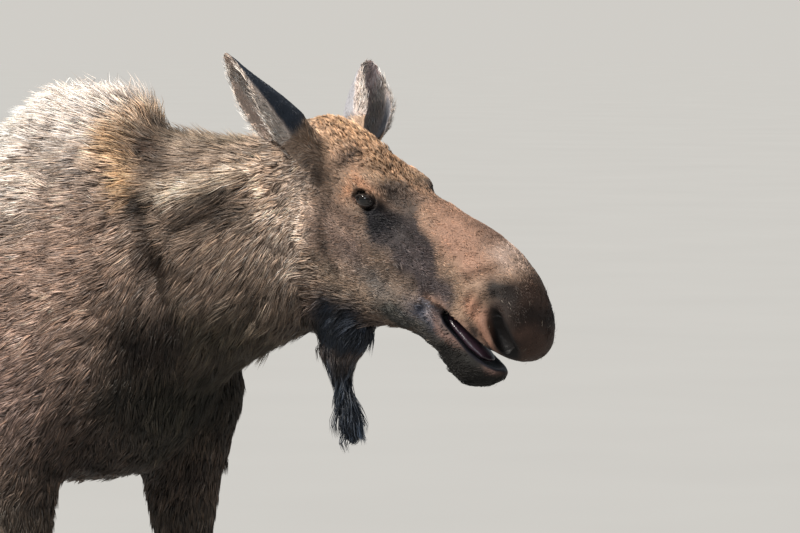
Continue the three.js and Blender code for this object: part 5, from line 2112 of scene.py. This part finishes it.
@dataclass
class Moose:
    """The whole animal."""

    bearings: Bearings

    def build(self) -> None:
        """Makes the hide, the coat, the eyes, the tongue and the hoofs in order."""
        clock = time.time()
        flesh = Flesh()
        hide = Hide(self.bearings, flesh)
        obj = hide.build()
        LOG.info("hide: net, smoothing and thinning %.1f s", time.time() - clock)
        lids = [Lids(self.bearings, side) for side in (1, -1)]
        patch_start = self._fit_lids(obj, lids)
        self._unwrap(obj)
        surface = Surface(obj.data)
        shares = flesh.shares(surface, 6)
        fields = CoatFields(Places(self.bearings, surface.points), shares, surface.normals())
        self._rims(fields, lids, patch_start)
        self._dress(obj, fields)
        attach(obj, ROOT_BODY)
        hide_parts(*flesh.names)
        LOG.info("hide: %d triangles, %.1f s", len(obj.data.polygons), time.time() - clock)
        for piece in Coat(self.bearings, obj, fields, HairFinish().make()).build():
            self._slot_of(piece.name)
        LOG.info("coat done %.1f s", time.time() - clock)
        self._small_parts(lids)
        LOG.info("all built in %.1f s", time.time() - clock)

    def _fit_lids(self, obj: bpy.types.Object, lids: list[Lids]) -> int:
        """Presses the face in under the lids and joins them to the hide.

        Args:
            obj: The hide.
            lids: Both eyes' lids.

        Returns:
            The number of the lids' first point.
        """
        mesh = obj.data
        tree = tree_of(mesh)
        surface = Surface(mesh)
        for lid in lids:
            middle, gaze, along, up = lid.axes()
            away = surface.points - middle
            flat = np.hypot((away @ along) / 0.040, (away @ up) / 0.028)
            near = (away @ gaze > -0.012) & (np.linalg.norm(away, axis=1) < 0.07)
            press = ease(1.0, 0.6, flat) * near
            surface.points -= gaze * (0.007 * press)[:, None]
        surface.store()
        shape = bmesh.new()
        shape.from_mesh(mesh)
        start = len(shape.verts)
        for lid in lids:
            lid.add_to(shape, tree)
        bmesh.ops.triangulate(shape, faces=[f for f in shape.faces if len(f.verts) > 3])
        shape.to_mesh(mesh)
        shape.free()
        mesh.polygons.foreach_set("use_smooth", [True] * len(mesh.polygons))
        return start

    @staticmethod
    def _unwrap(obj: bpy.types.Object) -> None:
        """Lays the hide flat in islands."""
        view = bpy.context.view_layer
        for other in view.objects:
            other.select_set(False)
        view.objects.active = obj
        obj.select_set(True)
        obj.data.uv_layers.new(name="OFBake")
        bpy.ops.object.mode_set(mode="EDIT")
        bpy.ops.mesh.select_all(action="SELECT")
        bpy.ops.uv.smart_project(angle_limit=1.15, island_margin=0.001)
        bpy.ops.object.mode_set(mode="OBJECT")

    def _rims(self, fields: CoatFields, lids: list[Lids], start: int) -> None:
        """Bares the rims of the lids, clears the hide under them, and paints the socket under them
        near black as shade.
        """
        points = fields.places.points
        own = np.arange(len(points)) >= start
        for lid in lids:
            middle, _, along, up = lid.axes()
            away = points - middle
            u, v = away @ along, away @ up
            tall = np.where(v > 0, lid.rise_above, lid.rise_below)
            slit = np.hypot(u / lid.half_length, v / tall)
            near = np.linalg.norm(away, axis=1) < 0.075
            rim = own & near
            bare = rim * ease(1.40, 1.18, slit)
            lash = rim * ease(1.04, 1.10, slit) * ease(1.34, 1.24, slit) * ease(0.0, 0.003, v)
            fields.traits["crowd"] *= 1 - bare
            fields.pull(rim * ease(2.6, 1.3, slit), length=0.006, width=0.0013)
            ring = near * ease(2.3, 1.7, slit)
            fields.paint(ring, (30, 23, 21), (52, 42, 38), 0.85)
            below = rim * ease(1.30, 1.50, slit) * ease(2.2, 1.6, slit) * ease(0.0, -0.004, v)
            below *= ease(0.004, -0.006, u)
            fields.paint(below, (104, 74, 60), (150, 112, 94), 0.5)
            fields.paint(bare, (13, 10, 10), (15, 11, 11))
            fields.damp = np.maximum(fields.damp, bare * 0.3)
            fields.traits["crowd"] += lash * 420000
            fields.pull(lash, length=0.013, width=0.0009, lift=1.05)
            hang = along_surface(np.tile(0.3 * along - up, (len(points), 1)), fields.normals)
            fields.way = unit(fields.way * (1 - lash)[:, None] + hang * lash[:, None])
            under = ~own & near & (np.hypot(u / 0.036, v / 0.025) < 1.0)
            fields.traits["crowd"][under] = 0
            # the hide round the ball, under the lids, painted near black as the shade of the
            # socket
            socket = ~own & near & (np.linalg.norm(away, axis=1) < 0.026)
            fields.paint(socket.astype(float), (16, 12, 12), (16, 12, 12))

    @staticmethod
    def _dress(obj: bpy.types.Object, fields: CoatFields) -> None:
        """Gives the hide its markings and painted shade, its damp places and its finish."""
        mesh = obj.data
        # under long hair the hide takes mostly the roots' colour, as painted shade between the
        # locks
        short = ease(0.030, 0.012, fields.traits["length"])
        mix = (0.12 + 0.60 * short)[:, None]
        colour = fields.root * (1 - mix) + fields.tip * mix
        write_pelt_and_shade(mesh, colour)
        damp = mesh.attributes.new("damp", "FLOAT", "POINT")
        damp.data.foreach_set("value", fields.damp.astype(np.float32))
        mesh.materials.clear()
        mesh.materials.append(HideFinish().make())

    @staticmethod
    def _slot_of(name: str) -> str:
        """The record's slot for a piece of the coat."""
        if "face" in name or "ears" in name:
            return "face_coat"
        return "dark_hair" if "bell" in name else "coat"

    @staticmethod
    def _small_parts(lids: list[Lids]) -> None:
        """Makes the eyes, the tongue and the hoofs."""
        glossy = EyeFinish().make()
        for lid in lids:
            Eye(lid).build(glossy)
        SmoothedSolid("tongue", "tongue_skin", "tongue").build(TongueFinish().make())
        horn = HornFinish().make()
        for node in sorted(frame["nodes"]):
            if "claw" in node:
                SmoothedSolid(node, node + "_horn", "hoof").build(horn)


def main() -> None:
    """Builds the studio and the moose."""
    logging.basicConfig(level=logging.INFO, format="%(name)s: %(message)s")
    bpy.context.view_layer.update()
    Studio().build()
    Moose(Bearings.find()).build()


if __name__ == "__main__":
    main()
